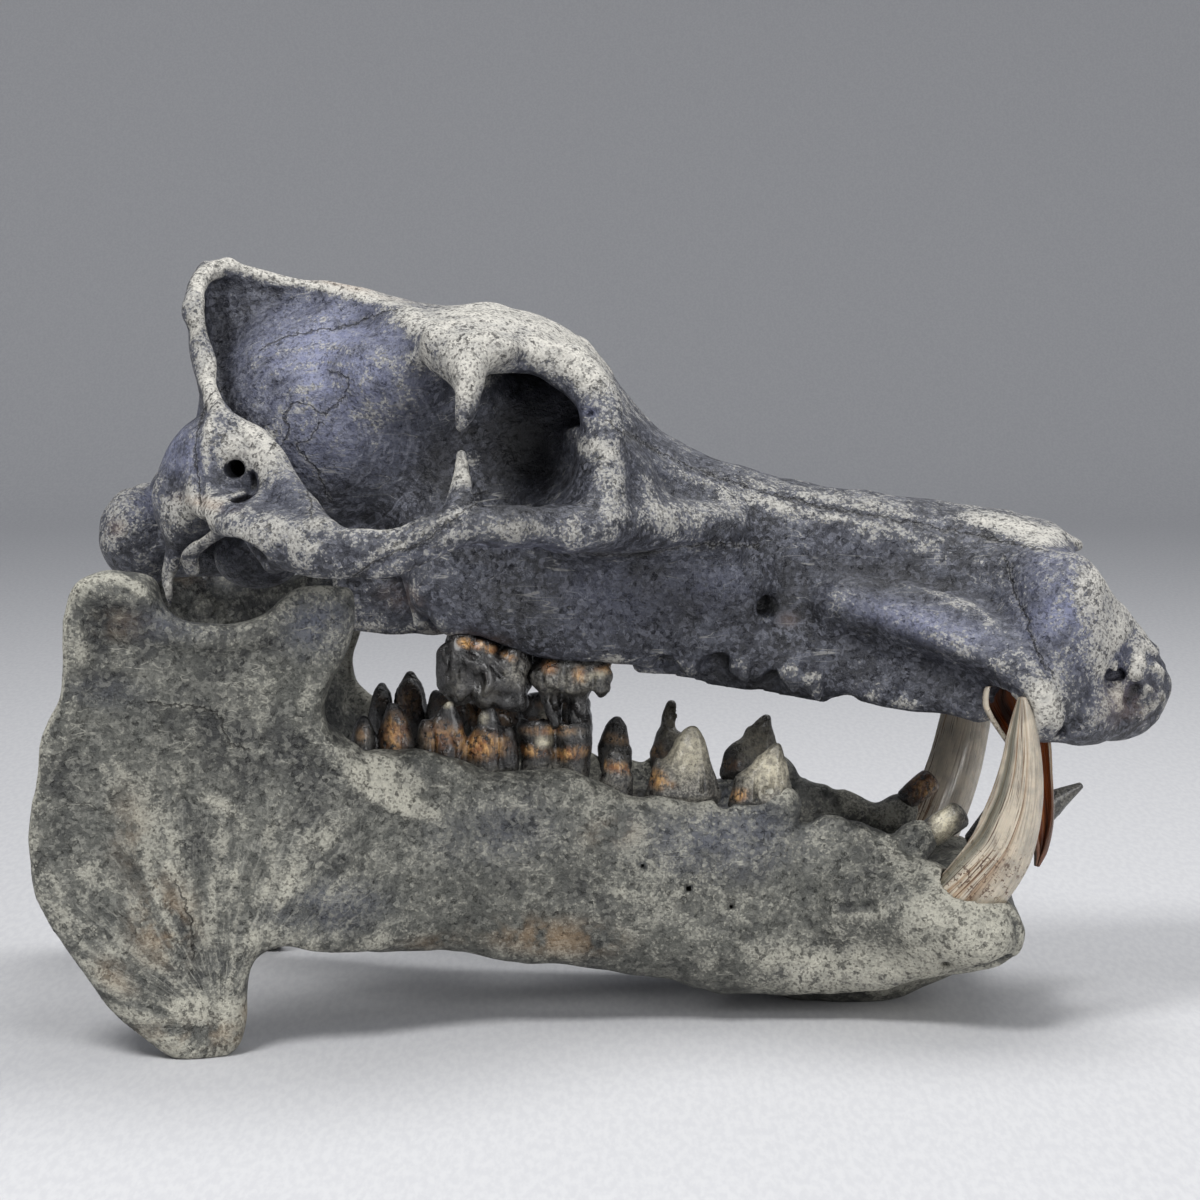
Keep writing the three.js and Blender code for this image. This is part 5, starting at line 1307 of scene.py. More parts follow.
def swept(name, stations, section, node, around=72, steps=14, cap=0.5):
    """
    Carries a section along a smooth path of (x, y, z, thickness along x, thickness across) stations.
    section(angle, along) gives the two offsets as shares of the half thicknesses. The ends are closed
    by shrinking the last rings to a point, cap of their size further on.
    """
    stations = np.array(stations, float)
    line = smooth_path(stations[:, :3], steps=steps)
    place = np.linspace(0, len(stations) - 1, len(line))
    half = np.stack([np.interp(place, np.arange(len(stations)), stations[:, i]) / 2 for i in (3, 4)], 1)
    run = np.gradient(line, axis=0)
    run = run / np.linalg.norm(run, axis=1, keepdims=True)
    across = np.array([0.0, 1, 0]) - run * run[:, 1:2]
    across = across / np.linalg.norm(across, axis=1, keepdims=True)
    along = np.cross(across, run)
    shrink = np.array([1, 0.92, 0.72, 0.4, 0.02])
    forward = np.array([0, 0.35, 0.68, 0.92, 1.0]) * cap
    last = len(line) - 1
    index = np.concatenate([np.zeros(4, int), np.arange(len(line)), np.full(4, last)])
    size = np.concatenate([shrink[:0:-1], np.ones(len(line)), shrink[1:]])
    shift = np.concatenate([-forward[:0:-1] * half[0].min(), np.zeros(len(line)),
                            forward[1:] * half[-1].min()])
    angle = np.arange(around) / around * 2 * math.pi
    how_far = index / last
    a, b = section(angle[None, :], how_far[:, None])
    points = (line[index, None, :] + run[index, None, :] * shift[:, None, None]
              + along[index, None, :] * (a * half[index, :1] * size[:, None])[..., None]
              + across[index, None, :] * (b * half[index, 1:] * size[:, None])[..., None])
    ends = [list(range(around))[::-1], list(range((len(index) - 1) * around, len(index) * around))]
    piece = mesh_piece(name, points.reshape(-1, 3), ring_faces(len(index), around), ends)
    length = np.concatenate([[0], np.cumsum(np.linalg.norm(np.diff(line, axis=0), axis=1))])[index]
    for label, values in (("length_mm", length[:, None]), ("turn", angle), ("worn", how_far[:, None])):
        keep(piece, label, np.broadcast_to(values, a.shape))
    return sits(piece, node)


def tusk_section(side):
    def section(angle, along):
        """An oval whose outer rear is shaved flat: what stands out beyond the facet is pushed back."""
        a = np.cos(angle) + 0 * along
        b = np.sin(angle) + 0 * along
        outward = b * side
        shave = 0.42 + 0.5 * smooth_step(0.55, 0.1, along)
        over = np.maximum(outward * 0.69 - a * 0.72 - shave, 0)
        dent = 0.05 * np.exp(-((a - 0.15) / 0.16) ** 2) * smooth_step(0, 0.4, outward)
        wave = 1 - dent + 0.008 * np.sin(7 * angle + 5 * along) + 0.006 * np.sin(17 * angle)
        return (a + over * 0.72) * wave, (b - over * 0.3 * side) * wave
    return section


tusk_right = swept("tusk_lower_right_ivory", RIGHT_TUSK, tusk_section(-1), "tusk_lower_right")
tusk_left = swept("tusk_lower_left_ivory", LEFT_TUSK, tusk_section(1), "tusk_lower_left")

# %% [markdown]
# ## Stumps in the chin
# Four front teeth stood between the tusks, and all of them broke. A front tooth of a hippopotamus is a
# plain rod, so the same sweep makes a stump, from a round section with a few seeded ripples.

# %% The broken front teeth
def stub_section(seed, rough=0.04):
    """The section of a broken stump, whose ripples start where the seed says."""
    phase = np.random.default_rng(seed).uniform(0, 6.28, 6)

    def section(angle, along):
        """A round with six seeded ripples: 1 + 2 * rough * sum(sin((n + 2) * angle) / (n + 2))."""
        ripple = sum(np.sin((n + 2) * angle + p + 2 * along) / (n + 2) for n, p in enumerate(phase))
        wave = 1 + rough * 2 * ripple
        return np.cos(angle) * wave, np.sin(angle) * wave
    return section


FRONT_TEETH = {
    "incisor_2_right": [(134, -41, 74, 13, 13), (143, -42, 80, 13.5, 13.5), (152, -43, 86.5, 13.5, 13.5),
                        (159.5, -44, 92, 12.5, 12.5)],
    "incisor_2_left": [(144, 42, 85, 11, 11), (148, 42, 88.5, 11.5, 11.5), (152, 42, 92, 11.5, 11.5),
                       (155, 42, 94.5, 11, 11)],
    "incisor_1_right": [(174, -16, 66, 17, 15), (192, -15, 80, 15, 13), (205, -14, 92, 12, 10),
                        (218, -14, 100.5, 3, 3)],
    "incisor_1_left": [(176, 18, 68, 16, 14), (189, 20, 88, 14, 12), (196, 21, 101, 8, 7),
                       (198, 21, 105, 5, 5)],
}
for number, (name, stations) in enumerate(FRONT_TEETH.items()):
    teeth[name] = swept(name, stations, stub_section(40 + number), "mandible", around=40)

# %% [markdown]
# ## The broken upper canine
# Only a curved shell of the right upper canine is left: the pulp hollow has opened along its outer
# side. It is the tusk's grid again, with the section run most of the way round outside and back inside
# it, so the shell has a wall of about two millimetres.

# %% Upper canine
def shell_section(angle, along):
    """Out along an arc from the rear edge round the inner side to the front edge, and back inside it."""
    turn = angle / (2 * math.pi)
    there = np.minimum(turn, 1 - turn) * 2
    inner = smooth_step(0.47, 0.53, turn)
    gap = math.radians(62) * smooth_step(0.95, 0.55, along)
    arc = -math.pi / 2 + gap + there * (2 * math.pi - 2 * gap)
    wall = 1 - inner * (0.17 + 0.5 * smooth_step(0.5, 0.95, along))
    return np.cos(arc + math.pi) * wall, np.sin(arc) * wall


canine = swept("canine_upper_right_shell", UPPER_CANINE, shell_section, "canine_upper_right",
               around=80, cap=0.05)

# %% [markdown]
# ## Building a finish from nodes
# A finish here is a stack: a ground colour, stains over it, a crust on top, and the same masks again
# for gloss and for fine bumps, so that what looks rough also catches the light that way. The nodes
# could be joined by hand in the editor. In a script one function adds any of them. The table gives each
# word its node, the node's settings, the inputs that are filled in order, and the output that is read.
# Object coordinates are metres, so a noise with grains of 14 mm has a scale of 1000 / 14.

# %% Nodes and colours
NODES = {
    "place": ("TexCoord", {}, (), "Object"),
    "number": ("Attribute", {}, (), "Fac"),
    "mapping": ("Mapping", {}, ("Vector", "Rotation", "Scale"), 0),
    "noise": ("TexNoise", {"noise_dimensions": "3D"}, ("Vector", "Scale", "Detail", "Roughness"), 0),
    "cells": ("TexVoronoi", {}, ("Vector", "Scale"), "Color"),
    "parts": ("SeparateColor", {}, (0,), 0),
    "point": ("CombineXYZ", {}, (0, 1, 2), 0),
    "plus": ("Math", {"operation": "ADD"}, (0, 1), 0),
    "less": ("Math", {"operation": "SUBTRACT"}, (0, 1), 0),
    "times": ("Math", {"operation": "MULTIPLY"}, (0, 1), 0),
    "size": ("Math", {"operation": "ABSOLUTE"}, (0,), 0),
    "sine": ("Math", {"operation": "SINE"}, (0,), 0),
    "cosine": ("Math", {"operation": "COSINE"}, (0,), 0),
    # start below low, end above high, a smooth step between: value, low, high, start (0), end (1)
    "ramp": ("MapRange", {"interpolation_type": "SMOOTHSTEP"}, (0, 1, 2, 3, 4), 0),
    # one colour laid over another: share, under, top
    "over": ("Mix", {"data_type": "RGBA"}, (0, 6, 7), 2),
    "bump": ("Bump", {}, ("Strength", "Distance", "Height"), 0),
}


def fill(made, inputs):
    """Links each named input of a node to a socket, or sets it to a number or a colour."""
    for key, value in inputs.items():
        if isinstance(value, bpy.types.NodeSocket):
            made.id_data.links.new(value, made.inputs[key])
        else:
            made.inputs[key].default_value = value


def add_node(tree, word, *values, out=None, **settings):
    """Adds the node of a word with its settings, fills its inputs in order, and returns its output."""
    kind, usual, keys, output = NODES[word]
    made = tree.nodes.new("ShaderNode" + kind)
    for key, value in {**usual, **settings}.items():
        setattr(made, key, value)
    fill(made, dict(zip(keys, values)))
    return made.outputs[output if out is None else out]


def colour(code):
    """An sRGB hex colour as the linear numbers that a shader wants."""
    parts = [int(code[i:i + 2], 16) / 255 for i in (0, 2, 4)]
    return tuple(c / 12.92 if c <= 0.04045 else ((c + 0.055) / 1.055) ** 2.4 for c in parts) + (1.0,)


def begin(name, *labels):
    """A new material, its own node function, the place of a point, and the numbers the mesh carries."""
    material = bpy.data.materials.new(name)
    material.use_nodes = True
    n = partial(add_node, material.node_tree)
    return material, n, n("place"), {label: n("number", attribute_name=label) for label in labels}


def wears(piece, material):
    """Gives a piece its one material."""
    piece.data.materials.clear()
    piece.data.materials.append(material)
    print(piece.name, "wears", material.name, "of", len(material.node_tree.nodes), "nodes")

# %% [markdown]
# ## Fossil bone
# The ground is old bone stained by iron and manganese: near black, with blue-violet, olive and rust
# casts. Over it lies the crust, as grains of about 1 mm that stand a little proud, thick enough on the
# crest and brow to hide the bone and broken into specks elsewhere. An image wrapped round the bone
# could show this too, but it would fit one skull only. Noise and a few painted numbers fit any.

# %% Stains, streaks and scratches
def bone_ground(n, has, tone, patches, blotch, mottle):
    """The bare bone: two dark tones in patches, worn pale between, and the violet stain."""
    ground = n("over", n("ramp", patches, 0.38, 0.62), tone["deep"], tone["mid"])
    ground = n("over", n("ramp", blotch, 0.46, 0.7, 0, 0.7), ground, tone["worn"])
    ground = n("over", n("ramp", mottle, 0.5, 0.72, 0, 0.55), ground, tone["worn"])
    ground = n("over", n("ramp", mottle, 0.46, 0.28, 0, 0.6), ground, tone["deep"])
    violet = n("times", has["violet"], n("ramp", blotch, 0.28, 0.56, 0.3, 1))
    return n("over", n("times", violet, 0.8), ground, tone["violet"])


def fan_streaks(n, has, fan, blotch):
    """Noise drawn out along or across the fan: its place is (turn round the apex, reach from it)."""
    wobble = n("times", n("less", blotch, 0.5), 0.006)
    around = n("plus", n("times", has["fan_turn"], fan[0]), wobble)
    outward = n("plus", n("times", has["fan_reach"], fan[1]), wobble)
    drawn_out = n("point", around, outward)
    streak = n("noise", drawn_out, 1000 / 2.2, 4, 0.65)
    feather = n("noise", drawn_out, 1000 / 8, 2, 0.5)
    return streak, feather


def scratches(n, place, blotch):
    """Thin lines: a narrow band of a noise that is drawn out along a slant, in two directions."""
    marks = []
    for lean, width_mm in ((0.7, 9.0), (-1.2, 12.0)):
        slant = n("mapping", place, (0, lean, 0.3), (0.07, 1, 1))
        band = n("size", n("less", n("noise", slant, 1000 / width_mm, 2, 0.5), 0.5))
        marks.append(n("times", n("ramp", band, 0.006, 0.002), n("ramp", blotch, 0.5, 0.62)))
    return n("plus", *marks)


def crust_amount(n, has, patches, blotch, feather):
    """How much crust: the painted amount, uneven from place to place, and less in hollows and shade."""
    amount = n("plus", has["crust"], n("ramp", patches, 0.3, 0.7, -0.1, 0.1))
    amount = n("plus", amount, n("ramp", blotch, 0.3, 0.7, -0.14, 0.14))
    amount = n("plus", amount, n("times", n("ramp", feather, 0.35, 0.65, -0.25, 0.25), has["fan"]))
    return n("less", amount, n("times", n("plus", has["hollow"], has["shade"]), 0.4))

# %% [markdown]
# The whole finish reads from the bone outwards: ground, crust, stains, seams, and last a painted shade
# in hollows and shaded places. Real bone has an IOR near 1.55. Its bare parts are half polished by
# handling, so they keep a soft gloss, and the crust is dull like plaster. The height is kept short,
# because a bump works its input out three times.

# %% Fossil bone
def crusted(n, amount, grains):
    """1 where a grain of crust sits: its own number and the amount of crust together pass a limit."""
    return n("ramp", n("plus", grains, n("ramp", amount, -0.1, 1.2, -0.3, 0.6)), 0.37, 0.62)


def fossil_bone(name, codes, fan, streaks, cover, dust, clumps):
    """codes are the colours, fan the pull of the streaks, and the rest the shares of the layers."""
    material, n, place, has = begin(name, "crust", "violet", "ochre", "shade", "hollow", "fan",
                                    "fan_turn", "fan_reach", "seam_mm", "seam_near")
    tone = {label: colour(code) for label, code in codes.items()}
    patches = n("noise", place, 1000 / 48, 3, 0.6)
    blotch = n("noise", place, 1000 / 14, 3, 0.65)
    mottle = n("noise", place, 1000 / 5, 4, 0.7)
    sand = n("cells", place, 1000 / 0.95)
    fine, shade_of_grain = n("parts", sand), n("parts", sand, out=1)
    coarse = n("parts", n("cells", place, 1000 / 2.1))

    ground = bone_ground(n, has, tone, patches, blotch, mottle)
    ground = n("over", n("ramp", coarse, 0.5, 1.0, 0, 0.3), ground, tone["streak"])
    ground = n("over", n("ramp", fine, 0.4, 0.0, 0, 0.55), ground, tone["dirt"])
    streak, feather = fan_streaks(n, has, fan, blotch)
    pale_streak = n("times", n("ramp", streak, 0.5, 0.72), has["fan"])
    ground = n("over", n("times", pale_streak, streaks), ground, tone["streak"])
    # Lacework: contour lines of a noise, drawn thin and pale.
    contour = n("size", n("less", n("noise", place, 1000 / 8, 3, 0.62), 0.5))
    lace = n("times", n("ramp", contour, 0.016, 0.004), n("ramp", mottle, 0.42, 0.6))
    ground = n("over", n("times", lace, 0.4), ground, tone["powder"])

    grains = n("plus", n("plus", n("times", fine, 0.45), n("times", coarse, 0.2)),
               n("times", n("less", mottle, 0.5), clumps))
    amount = crust_amount(n, has, patches, blotch, feather)
    crust = crusted(n, amount, grains)
    heavy = n("times", n("ramp", amount, 0.5, 1.15), n("ramp", mottle, 0.36, 0.56, 0.4, 1))
    pale = n("over", heavy, tone["crust"], tone["crust_warm"])
    pale = n("over", n("ramp", shade_of_grain, 0.45, 0.0, 0, 0.7), pale, tone["pit"])
    pores = n("times", n("ramp", coarse, 0.24, 0.12), n("ramp", mottle, 0.5, 0.42))
    pale = n("over", n("times", pores, 0.7), pale, tone["pit"])
    powder = n("times", n("ramp", amount, 0.0, 1.1, 0, dust), n("ramp", mottle, 0.3, 0.62, 0.4, 1))
    surface = n("over", powder, ground, tone["powder"])
    surface = n("over", n("times", crust, cover), surface, pale)
    surface = n("over", n("times", scratches(n, place, blotch), 0.5), surface, tone["crust"])
    ochre = n("times", has["ochre"], n("ramp", blotch, 0.34, 0.6))
    surface = n("over", n("times", ochre, 0.45), surface, tone["ochre"])

    # Seams: dark within a third of a millimetre of the line, pale grains along their lips.
    sway = n("ramp", n("noise", place, 1000 / 4.5, 2, 0.6), 0.3, 0.7, -0.9, 0.9)
    wander = n("size", n("plus", sway, has["seam_mm"]))
    seam = n("times", n("ramp", wander, 0.5, 0.15), has["seam_near"])
    lips = n("times", n("ramp", wander, 2.2, 0.6), n("times", has["seam_near"], n("ramp", fine, 0.4, 0.8)))
    surface = n("over", n("times", lips, 0.3), surface, tone["crust"])
    surface = n("over", n("times", seam, 0.6), surface, colour("17130f"))
    # Painted shade: the hollows and the shade spots darken the surface towards the near-black of the grit.
    dirt = n("plus", n("ramp", has["hollow"], 0.05, 0.8, 0, 0.62), n("times", has["shade"], 0.65))
    surface = n("over", n("ramp", dirt, 0.0, 1.0, 0, 0.92), surface, tone["dirt"])

    height = n("plus", n("times", crusted(n, has["crust"], grains), 0.35), n("times", grains, 0.7))
    height = n("plus", height, n("times", mottle, 0.8))
    height = n("less", height, n("plus", seam, n("times", pores, 0.5)))
    fill(material.node_tree.nodes["Principled BSDF"], {
        "Base Color": surface,
        "Roughness": n("ramp", n("plus", crust, n("times", blotch, 0.5)), 0.0, 1.2, 0.46, 0.86),
        "IOR": 1.55, "Specular IOR Level": 0.42, "Normal": n("bump", 1.0, 0.0018, height)})
    return material


# In both lists the near-black colour darkens the fine grit and is also the painted shade of hollows and
# shade spots.
wears(cranium, fossil_bone("fossil_bone_blue_grey", {
    "deep": "1f2026", "mid": "353741", "worn": "585b66", "violet": "9196b5", "ochre": "86603c",
    "streak": "9496a2", "crust": "b0aea8", "crust_warm": "d8d4c9", "powder": "8b8d96", "pit": "37342d",
    "dirt": "0b0b0d"}, fan=(0.007, 0.001), streaks=0.6, cover=0.84, dust=0.55, clumps=0.7))
wears(jaw, fossil_bone("fossil_bone_olive_grey", {
    "deep": "303130", "mid": "4d4e49", "worn": "6c6c65", "violet": "5c6174", "ochre": "8f6e45",
    "streak": "a7a69c", "crust": "b2b0a4", "crust_warm": "dedac9", "powder": "8f8e84", "pit": "3a3730",
    "dirt": "121210"}, fan=(0.06, 0.00016), streaks=0.7, cover=0.54, dust=0.62, clumps=0.5))

# %% [markdown]
# ## Where teeth are amber, cream or grey
# Stain took each tooth in its own way: amber at the necks of the molars, cream on the front premolars,
# grey where the crust reached. As on the bones, each place is a soft spot and each point of the mesh
# carries the three numbers. On the left side, which sees less light, they count for less than half.

# %% Tooth spots
TOOTH_SPOTS = {
    "amber": {
        "upper_molar_2": [(-59, 170, 4, 2.4, -8, 1.0), (-53.5, 169, 3, 2.2, 0, 1.0),
            (-48.5, 167.5, 3, 2, -15, 1.0), (-40, 164, 4, 2, -25, 0.5)],
        "upper_molar_1": [(-22, 159, 4, 3, 0, 0.8), (-9, 156, 4, 4, 0, 0.7), (2, 158, 6, 2, 0, 0.5)],
        "lower_molar_3": [(-90, 131, 6, 9, 0, 0.9), (-104, 131, 3, 4, 0, 0.4)],
        "lower_molar_2": [(-70, 129, 9, 7, 0, 0.6), (-52, 125, 12, 6.5, 0, 1.0),
            (-61, 129, 4, 6, 0, 0.5)],
        "lower_molar_1": [(-30, 122, 8, 3, 0, 0.7), (-13, 121, 8, 3.4, 12, 1.0),
            (-22, 131, 13, 2.4, 0, 0.6)],
        "lower_premolar_4": [(8, 114, 3, 9, 80, 0.9)],
        "lower_premolar_3": [(25.5, 109, 4.5, 5, 0, 0.9), (30, 107, 5, 2, -10, 0.5)],
        "lower_premolar_2": [(62, 102, 5, 3, 20, 0.9)],
        "incisor_2_left": [(152, 92, 9, 9, 0, 2.0)],
    },
    "cream": {
        "upper_molar_2": [(-66, 140, 3, 3, 0, 0.3)],
        "upper_molar_1": [(-2, 156, 7, 2, 10, 0.6)],
        "lower_molar_2": [(-67, 143, 2.5, 2, 0, 0.7), (-51, 137, 2.5, 3, 0, 0.5)],
        "lower_molar_1": [(-25, 126, 4, 3, 0, 1.0)],
        "lower_premolar_3": [(38, 122, 12, 14, 0, 0.8)],
        "lower_premolar_2": [(74, 113, 12, 12, 0, 0.8)],
        "incisor_2_right": [(153, 88, 6.5, 10, 0, 1.4)],
    },
    "grey": {
        "upper_molar_2": [(-37, 157, 6, 7, 0, 1.0), (-50, 148, 6, 6, 0, 0.4),
            (-63, 150, 5, 10, 0, 0.35)],
        "upper_molar_1": [(-13, 153, 20, 8, 0, 0.9)],
        "lower_molar_3": [(-97, 116, 14, 5, 0, 0.8), (-103, 130, 4, 6, 0, 0.5)],
        "lower_molar_2": [(-60, 112, 24, 6, 0, 0.9), (-78, 128, 5, 6, 0, 0.5)],
        "lower_molar_1": [(-21, 112, 18, 6, 0, 0.9), (-21, 130, 18, 3, 0, 0.5)],
        "lower_premolar_4": [(7, 110, 9, 14, 0, 0.7)],
        "lower_premolar_3": [(38, 108, 18, 26, 0, 1.0)],
        "lower_premolar_2": [(73, 106, 16, 24, 0, 1.0)],
        "incisor_2_right": [(161, 94, 4, 9, 0, 1.3)],
        "incisor_1_right": [(205, 92, 30, 22, 0, 0.6)],
    },
}
NO_SPOT = [(0, 0, 1, 1, 0, 0)]


def paint_tooth(piece, name):
    """Stores how amber, cream and grey each point of a tooth is."""
    points = places(piece)
    share = 1.0 if piece.name.endswith("right") else 0.4
    for label, table in TOOTH_SPOTS.items():
        keep(piece, label, spotted(points, table.get(name, NO_SPOT)) * share)


print(len(TOOTH_SPOTS), "stains on", len(set().union(*TOOTH_SPOTS.values())), "kinds of tooth")

# %% [markdown]
# ## Enamel of the cheek teeth
# Tooth enamel is the hardest and glossiest thing in a skull (IOR 1.62). Buried long enough it goes
# black-brown, and shows amber where it is thin and light comes through. The front premolars kept more
# of their cream. The stain runs in fine upright bands, because enamel grows in upright prisms.

# %% Enamel
def stained_enamel():
    """Black-brown enamel with grey, amber and cream over it, under a thin clear coat for the wet gloss."""
    material, n, place, has = begin("stained_fossil_enamel", "grey", "amber", "cream")
    blotch = n("noise", place, 1000 / 6, 5, 0.68)
    mottle = n("noise", place, 1000 / 2.6, 4, 0.65)
    speck = n("noise", place, 1000 / 1.0, 3, 0.65)
    prisms = n("noise", n("mapping", place, (0, 0, 0), (1, 1, 0.2)), 1000 / 1.5, 3, 0.6)
    surface = n("over", n("ramp", blotch, 0.42, 0.66), colour("060505"), colour("1c1918"))
    surface = n("over", n("ramp", mottle, 0.58, 0.72, 0, 0.55), surface, colour("57534e"))
    grey = n("times", has["grey"], n("ramp", mottle, 0.36, 0.56, 0.1, 1))
    greys = n("over", n("ramp", speck, 0.38, 0.62), colour("4f4c47"), colour("a29e92"))
    surface = n("over", n("times", grey, 0.85), surface, greys)
    amber = n("times", has["amber"], n("ramp", prisms, 0.36, 0.54, 0.35, 1))
    ambers = n("over", n("ramp", blotch, 0.4, 0.62), colour("8a5526"), colour("d9a766"))
    surface = n("over", n("times", amber, n("ramp", mottle, 0.34, 0.52)), surface, ambers)
    cream = n("times", has["cream"], n("ramp", blotch, 0.24, 0.46, 0.3, 1))
    creams = n("over", n("ramp", mottle, 0.4, 0.6), colour("a7a08c"), colour("d6cdb2"))
    surface = n("over", n("times", cream, n("ramp", speck, 0.3, 0.46, 0.3, 1)), surface, creams)
    height = n("plus", n("times", prisms, 0.6), n("times", blotch, 1.4))
    height = n("plus", height, n("plus", n("times", mottle, 0.9), n("times", speck, 0.3)))
    dull = n("ramp", n("plus", mottle, n("times", has["grey"], 0.25)), 0.35, 0.8, 0.2, 0.6)
    fill(material.node_tree.nodes["Principled BSDF"], {
        "Base Color": surface, "Roughness": dull, "IOR": 1.62, "Coat Weight": 0.3,
        "Coat Roughness": 0.18, "Normal": n("bump", 0.9, 0.001, height)})
    return material


enamel = stained_enamel()
for piece in teeth.values():
    name = piece.name.rsplit("_", 1)[0]
    paint_tooth(piece, name if name in TEETH else piece.name)
    wears(piece, enamel)

# %% [markdown]
# ## Ivory and dentine
# The tusks kept their cream ivory. It splits along its length as it dries, and dirt in the fine splits
# draws brown lines. Plain noise would ignore the curve of the tooth, so the pattern's place is made
# from how far along and how far round each point is. A soft coat and a little light under the surface
# give the glow that paint lacks (IOR 1.54).

# %% Ivory
def along_tooth(n, has, round_mm, stretch):
    """A place that turns with the tooth: its girth opened to a ring, its length shortened by stretch."""
    x = n("times", n("cosine", has["turn"]), round_mm / 1000)
    y = n("times", n("sine", has["turn"]), round_mm / 1000)
    return n("point", x, y, n("times", has["length_mm"], 0.001 / stretch))


def cream_ivory(n, place, has, dark_turn):
    """Cream ivory with lengthwise threads, more of them towards one side: colour, threads and height."""
    tone = {label: colour(code) for label, code in IVORY.items()}
    skin_place = along_tooth(n, has, 12, 28)
    lines = n("noise", skin_place, 1000 / 0.9, 4, 0.65)
    wide = n("noise", skin_place, 1000 / 3.6, 3, 0.6)
    blotch = n("noise", place, 1000 / 9, 4, 0.6)
    speck = n("noise", place, 1000 / 1.6, 3, 0.6)
    fleck = n("noise", place, 1000 / 3.4, 3, 0.6)
    facing = n("cosine", n("less", has["turn"], dark_turn))
    stained = n("ramp", facing, -0.1, 0.7)
    surface = n("over", n("ramp", blotch, 0.35, 0.65), tone["ivory"], tone["ivory_grey"])
    tanned = n("times", n("ramp", wide, 0.44, 0.58), n("times", stained, 0.9))
    surface = n("over", tanned, surface, tone["tan"])
    threads = n("times", n("ramp", lines, 0.53, 0.64), n("ramp", stained, 0, 1, 0.3, 0.95))
    surface = n("over", threads, surface, tone["brown"])
    base = n("times", n("ramp", has["worn"], 0.44, 0.3), n("ramp", speck, 0.52, 0.58))
    base = n("times", base, n("ramp", fleck, 0.46, 0.58))
    surface = n("over", n("times", base, 0.85), surface, tone["brown"])
    surface = n("over", n("times", n("ramp", facing, 0.95, 0.995), 0.75), surface, tone["edge"])
    height = n("plus", n("times", n("ramp", lines, 0.62, 0.5), 0.6), n("times", wide, 0.6))
    return surface, lines, height


def polish(material, n, surface, lines, height):
    """Ivory's gloss: a soft coat, a little light passing under the surface, and fine long splits."""
    fill(material.node_tree.nodes["Principled BSDF"], {
        "Base Color": surface, "Roughness": n("ramp", lines, 0.35, 0.7, 0.22, 0.52), "IOR": 1.54,
        "Coat Weight": 0.3, "Coat Roughness": 0.2, "Subsurface Weight": 0.08, "Subsurface Scale": 1.0,
        "Subsurface Radius": (0.004, 0.002, 0.001), "Normal": n("bump", 0.65, 0.0006, height)})
    return material


IVORY = {"ivory": "cdc1ad", "ivory_grey": "afa697", "tan": "936c40", "brown": "4a2d18", "edge": "5c5d50"}
for tusk, dark_turn in ((tusk_right, math.pi * 1.1), (tusk_left, math.pi)):
    material, n, place, has = begin("streaked_" + tusk.name, "turn", "length_mm", "worn")
    wears(tusk, polish(material, n, *cream_ivory(n, place, has, dark_turn)))

# %% [markdown]
# The hollow canine has ivory outside and dentine inside. Dentine is porous and soaks up iron, so it
# goes amber to near black. Its tip broke through to the dentine, so both faces are amber there.

# %% The hollow canine
material, n, place, has = begin("amber_dentine", "turn", "length_mm", "worn")
outside, lines, height = cream_ivory(n, place, has, 0.4)
growth = n("noise", along_tooth(n, has, 12, 6), 1000 / 7, 4, 0.6)
inside = n("over", n("ramp", growth, 0.36, 0.6), colour("2a1206"), colour("7d3d12"))
inside = n("over", n("ramp", growth, 0.6, 0.72), inside, colour("a8682c"))
inner_face = n("ramp", has["turn"], math.pi * 1.03, math.pi * 1.07)
shell = n("over", inner_face, outside, inside)
shell = n("over", n("times", n("ramp", has["worn"], 0.45, 0.62), 0.85), shell, inside)
wears(canine, polish(material, n, shell, lines, height))

# %% [markdown]
# ## Floor, light and camera
# A pale floor and large soft lamps show the bone as a museum photographer would. The camera stands
# low and a long way off, which keeps the long muzzle from bulging towards the viewer.

# %% Floor
def pale_paper():
    """Matt paper: fibres of about 3 mm that vary its shade by a few parts in a hundred."""
    material, n, place, _ = begin("pale_matt_paper")
    fibres = n("noise", n("mapping", place, (0, 0, 0), (1, 0.25, 1)), 1000 / 3, 2, 0.6)
    shade = n("over", n("ramp", fibres, 0.35, 0.65), colour("c6c6c8"), colour("cdcdce"))
    fill(material.node_tree.nodes["Principled BSDF"], {"Base Color": shade, "Roughness": 0.9})
    return material


def floor():
    """
    A round floor whose rim curls up, turned about the upright axis, so that every side has the same
    plain ground behind it: flat to 3.0 m, then a quarter circle of 1.2 m, then a short wall.
    """
    flat, bend, wall, turns = 3000, 1200, 600, 96
    curl = np.linspace(0, math.pi / 2, 14)[1:]
    out = np.concatenate([np.linspace(20, flat, 24), flat + bend * np.sin(curl), [flat + bend] * 3])
    up = np.concatenate([np.zeros(24), bend * (1 - np.cos(curl)), bend + wall * np.array([0.3, 0.6, 1])])
    turn = np.arange(turns) / turns * 2 * math.pi
    points = np.stack([out[:, None] * np.cos(turn) + CENTRE_X, out[:, None] * np.sin(turn),
                       np.broadcast_to(up[:, None], (len(out), turns))], -1).reshape(-1, 3)
    piece = mesh_piece("floor", points, ring_faces(len(out), turns)[:, ::-1], [list(range(turns))])
    wears(piece, pale_paper())


floor()

# %% [markdown]
# The key lamp stands high on the left. A second one lights the top from behind and to the right, and
# a third fills the shadows from the front. All are discs of about a metre, because a large lamp near
# by gives soft shadow edges. A weak bluish sky keeps the hollows from going black.

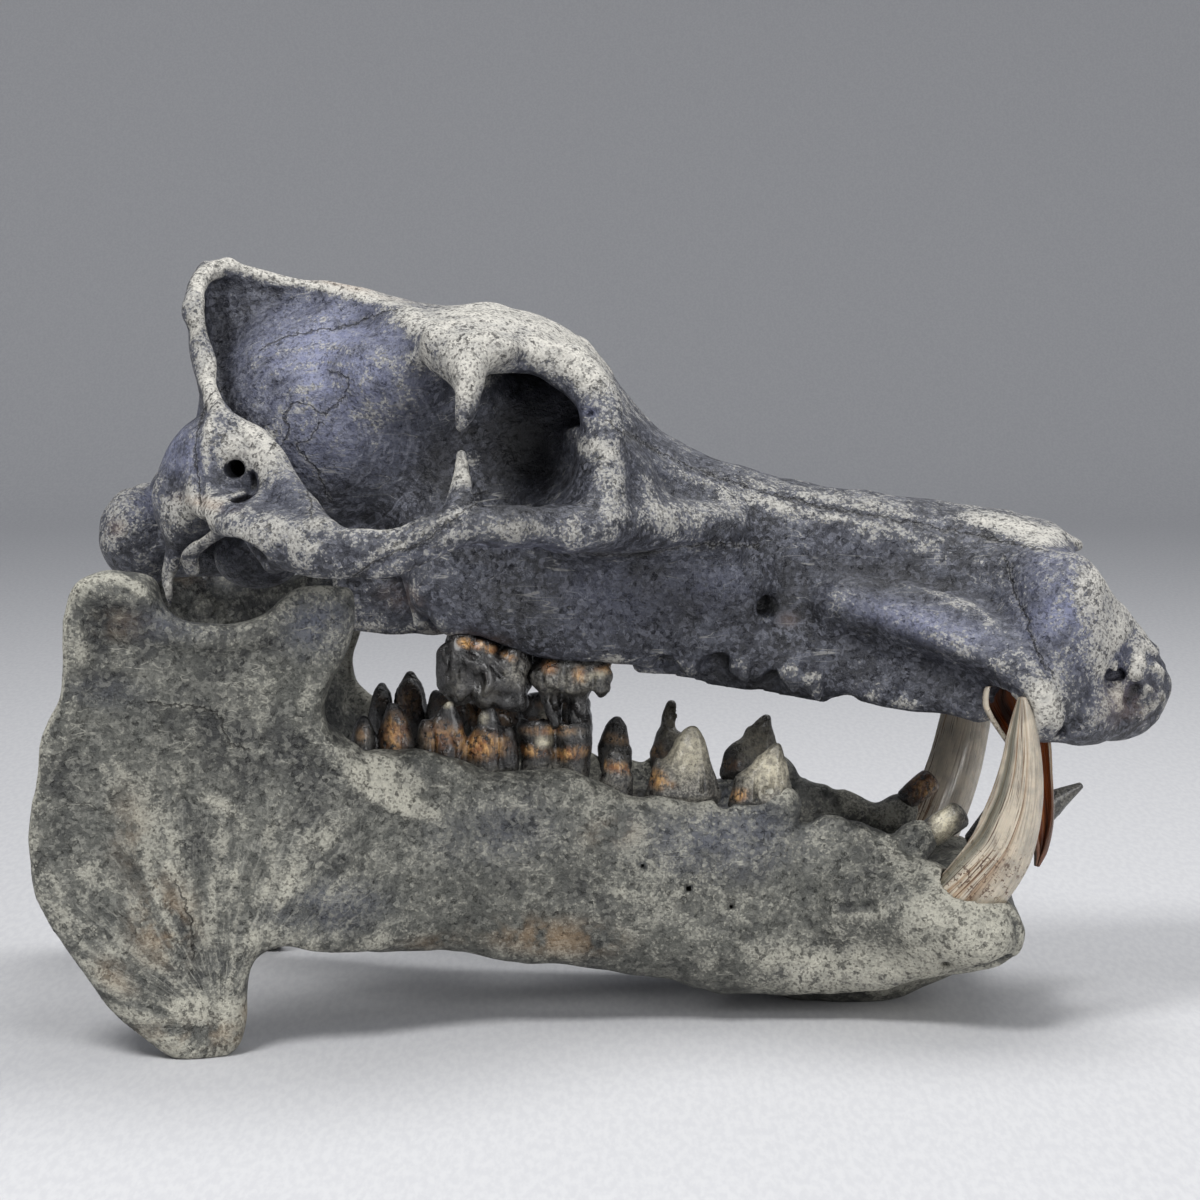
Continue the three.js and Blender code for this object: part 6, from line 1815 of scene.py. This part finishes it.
# %% Lamps
def lamp(name, place, aim, size, power):
    """A disc of a size in metres and a power in watts, turned so that its light falls on aim."""
    light = bpy.data.lights.new(name, "AREA")
    light.shape, light.size, light.energy = "DISK", size, power
    piece = bpy.data.objects.new(name, light)
    bpy.context.collection.objects.link(piece)
    away = np.array(place) - np.array(aim)
    piece.location = place
    piece.visible_camera = False
    piece.rotation_euler = (math.atan2(math.hypot(away[0], away[1]), away[2]), 0,
                            math.atan2(away[1], away[0]) + math.pi / 2)
    print(name, "of", power, "W,", round(float(np.linalg.norm(away)), 2), "m from what it lights")


lamp("soft_key", (-0.8, -1.1, 1.8), (0, 0, 0.2), 0.8, 30)
lamp("soft_top", (0.5, 0.5, 1.9), (0, 0, 0.25), 1.0, 20)
lamp("soft_fill", (1.2, -2.0, 0.85), (0, 0, 0.2), 1.0, 24)
world = bpy.data.worlds.new("studio")
bpy.context.scene.world = world
world.use_nodes = True
fill(world.node_tree.nodes["Background"], {"Color": (0.75, 0.78, 0.85, 1), "Strength": 0.38})

# %% [markdown]
# A lens of about 100 mm from a metre and a half away flattens the depth a little, which keeps the
# lengths of the bones true to each other. A wide lens close by would swell the muzzle.

# %% Camera
AIM = (-CENTRE_X * MM, 0, 0.1836)        # the point at the picture's middle
AWAY = 1.5698                            # m from there to the camera
RISE = math.radians(5.6)                 # the camera looks down by this much
SENSOR_MM, LENS_MM = 36, 103.5
lens = bpy.data.cameras.new("camera")
lens.sensor_width, lens.lens = SENSOR_MM, LENS_MM
camera = bpy.data.objects.new("camera", lens)
bpy.context.collection.objects.link(camera)
camera.location = (AIM[0], -AWAY * math.cos(RISE), AIM[2] + AWAY * math.sin(RISE))
camera.rotation_euler = (math.pi / 2 - RISE, 0, 0)
bpy.context.scene.camera = camera
bpy.context.scene.view_settings.view_transform = "Standard"
print("the picture is", round(AWAY * SENSOR_MM / LENS_MM, 3), "m wide at the skull")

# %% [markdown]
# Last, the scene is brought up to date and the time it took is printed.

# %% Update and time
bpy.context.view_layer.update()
print("made in", round(time.time() - started), "s")
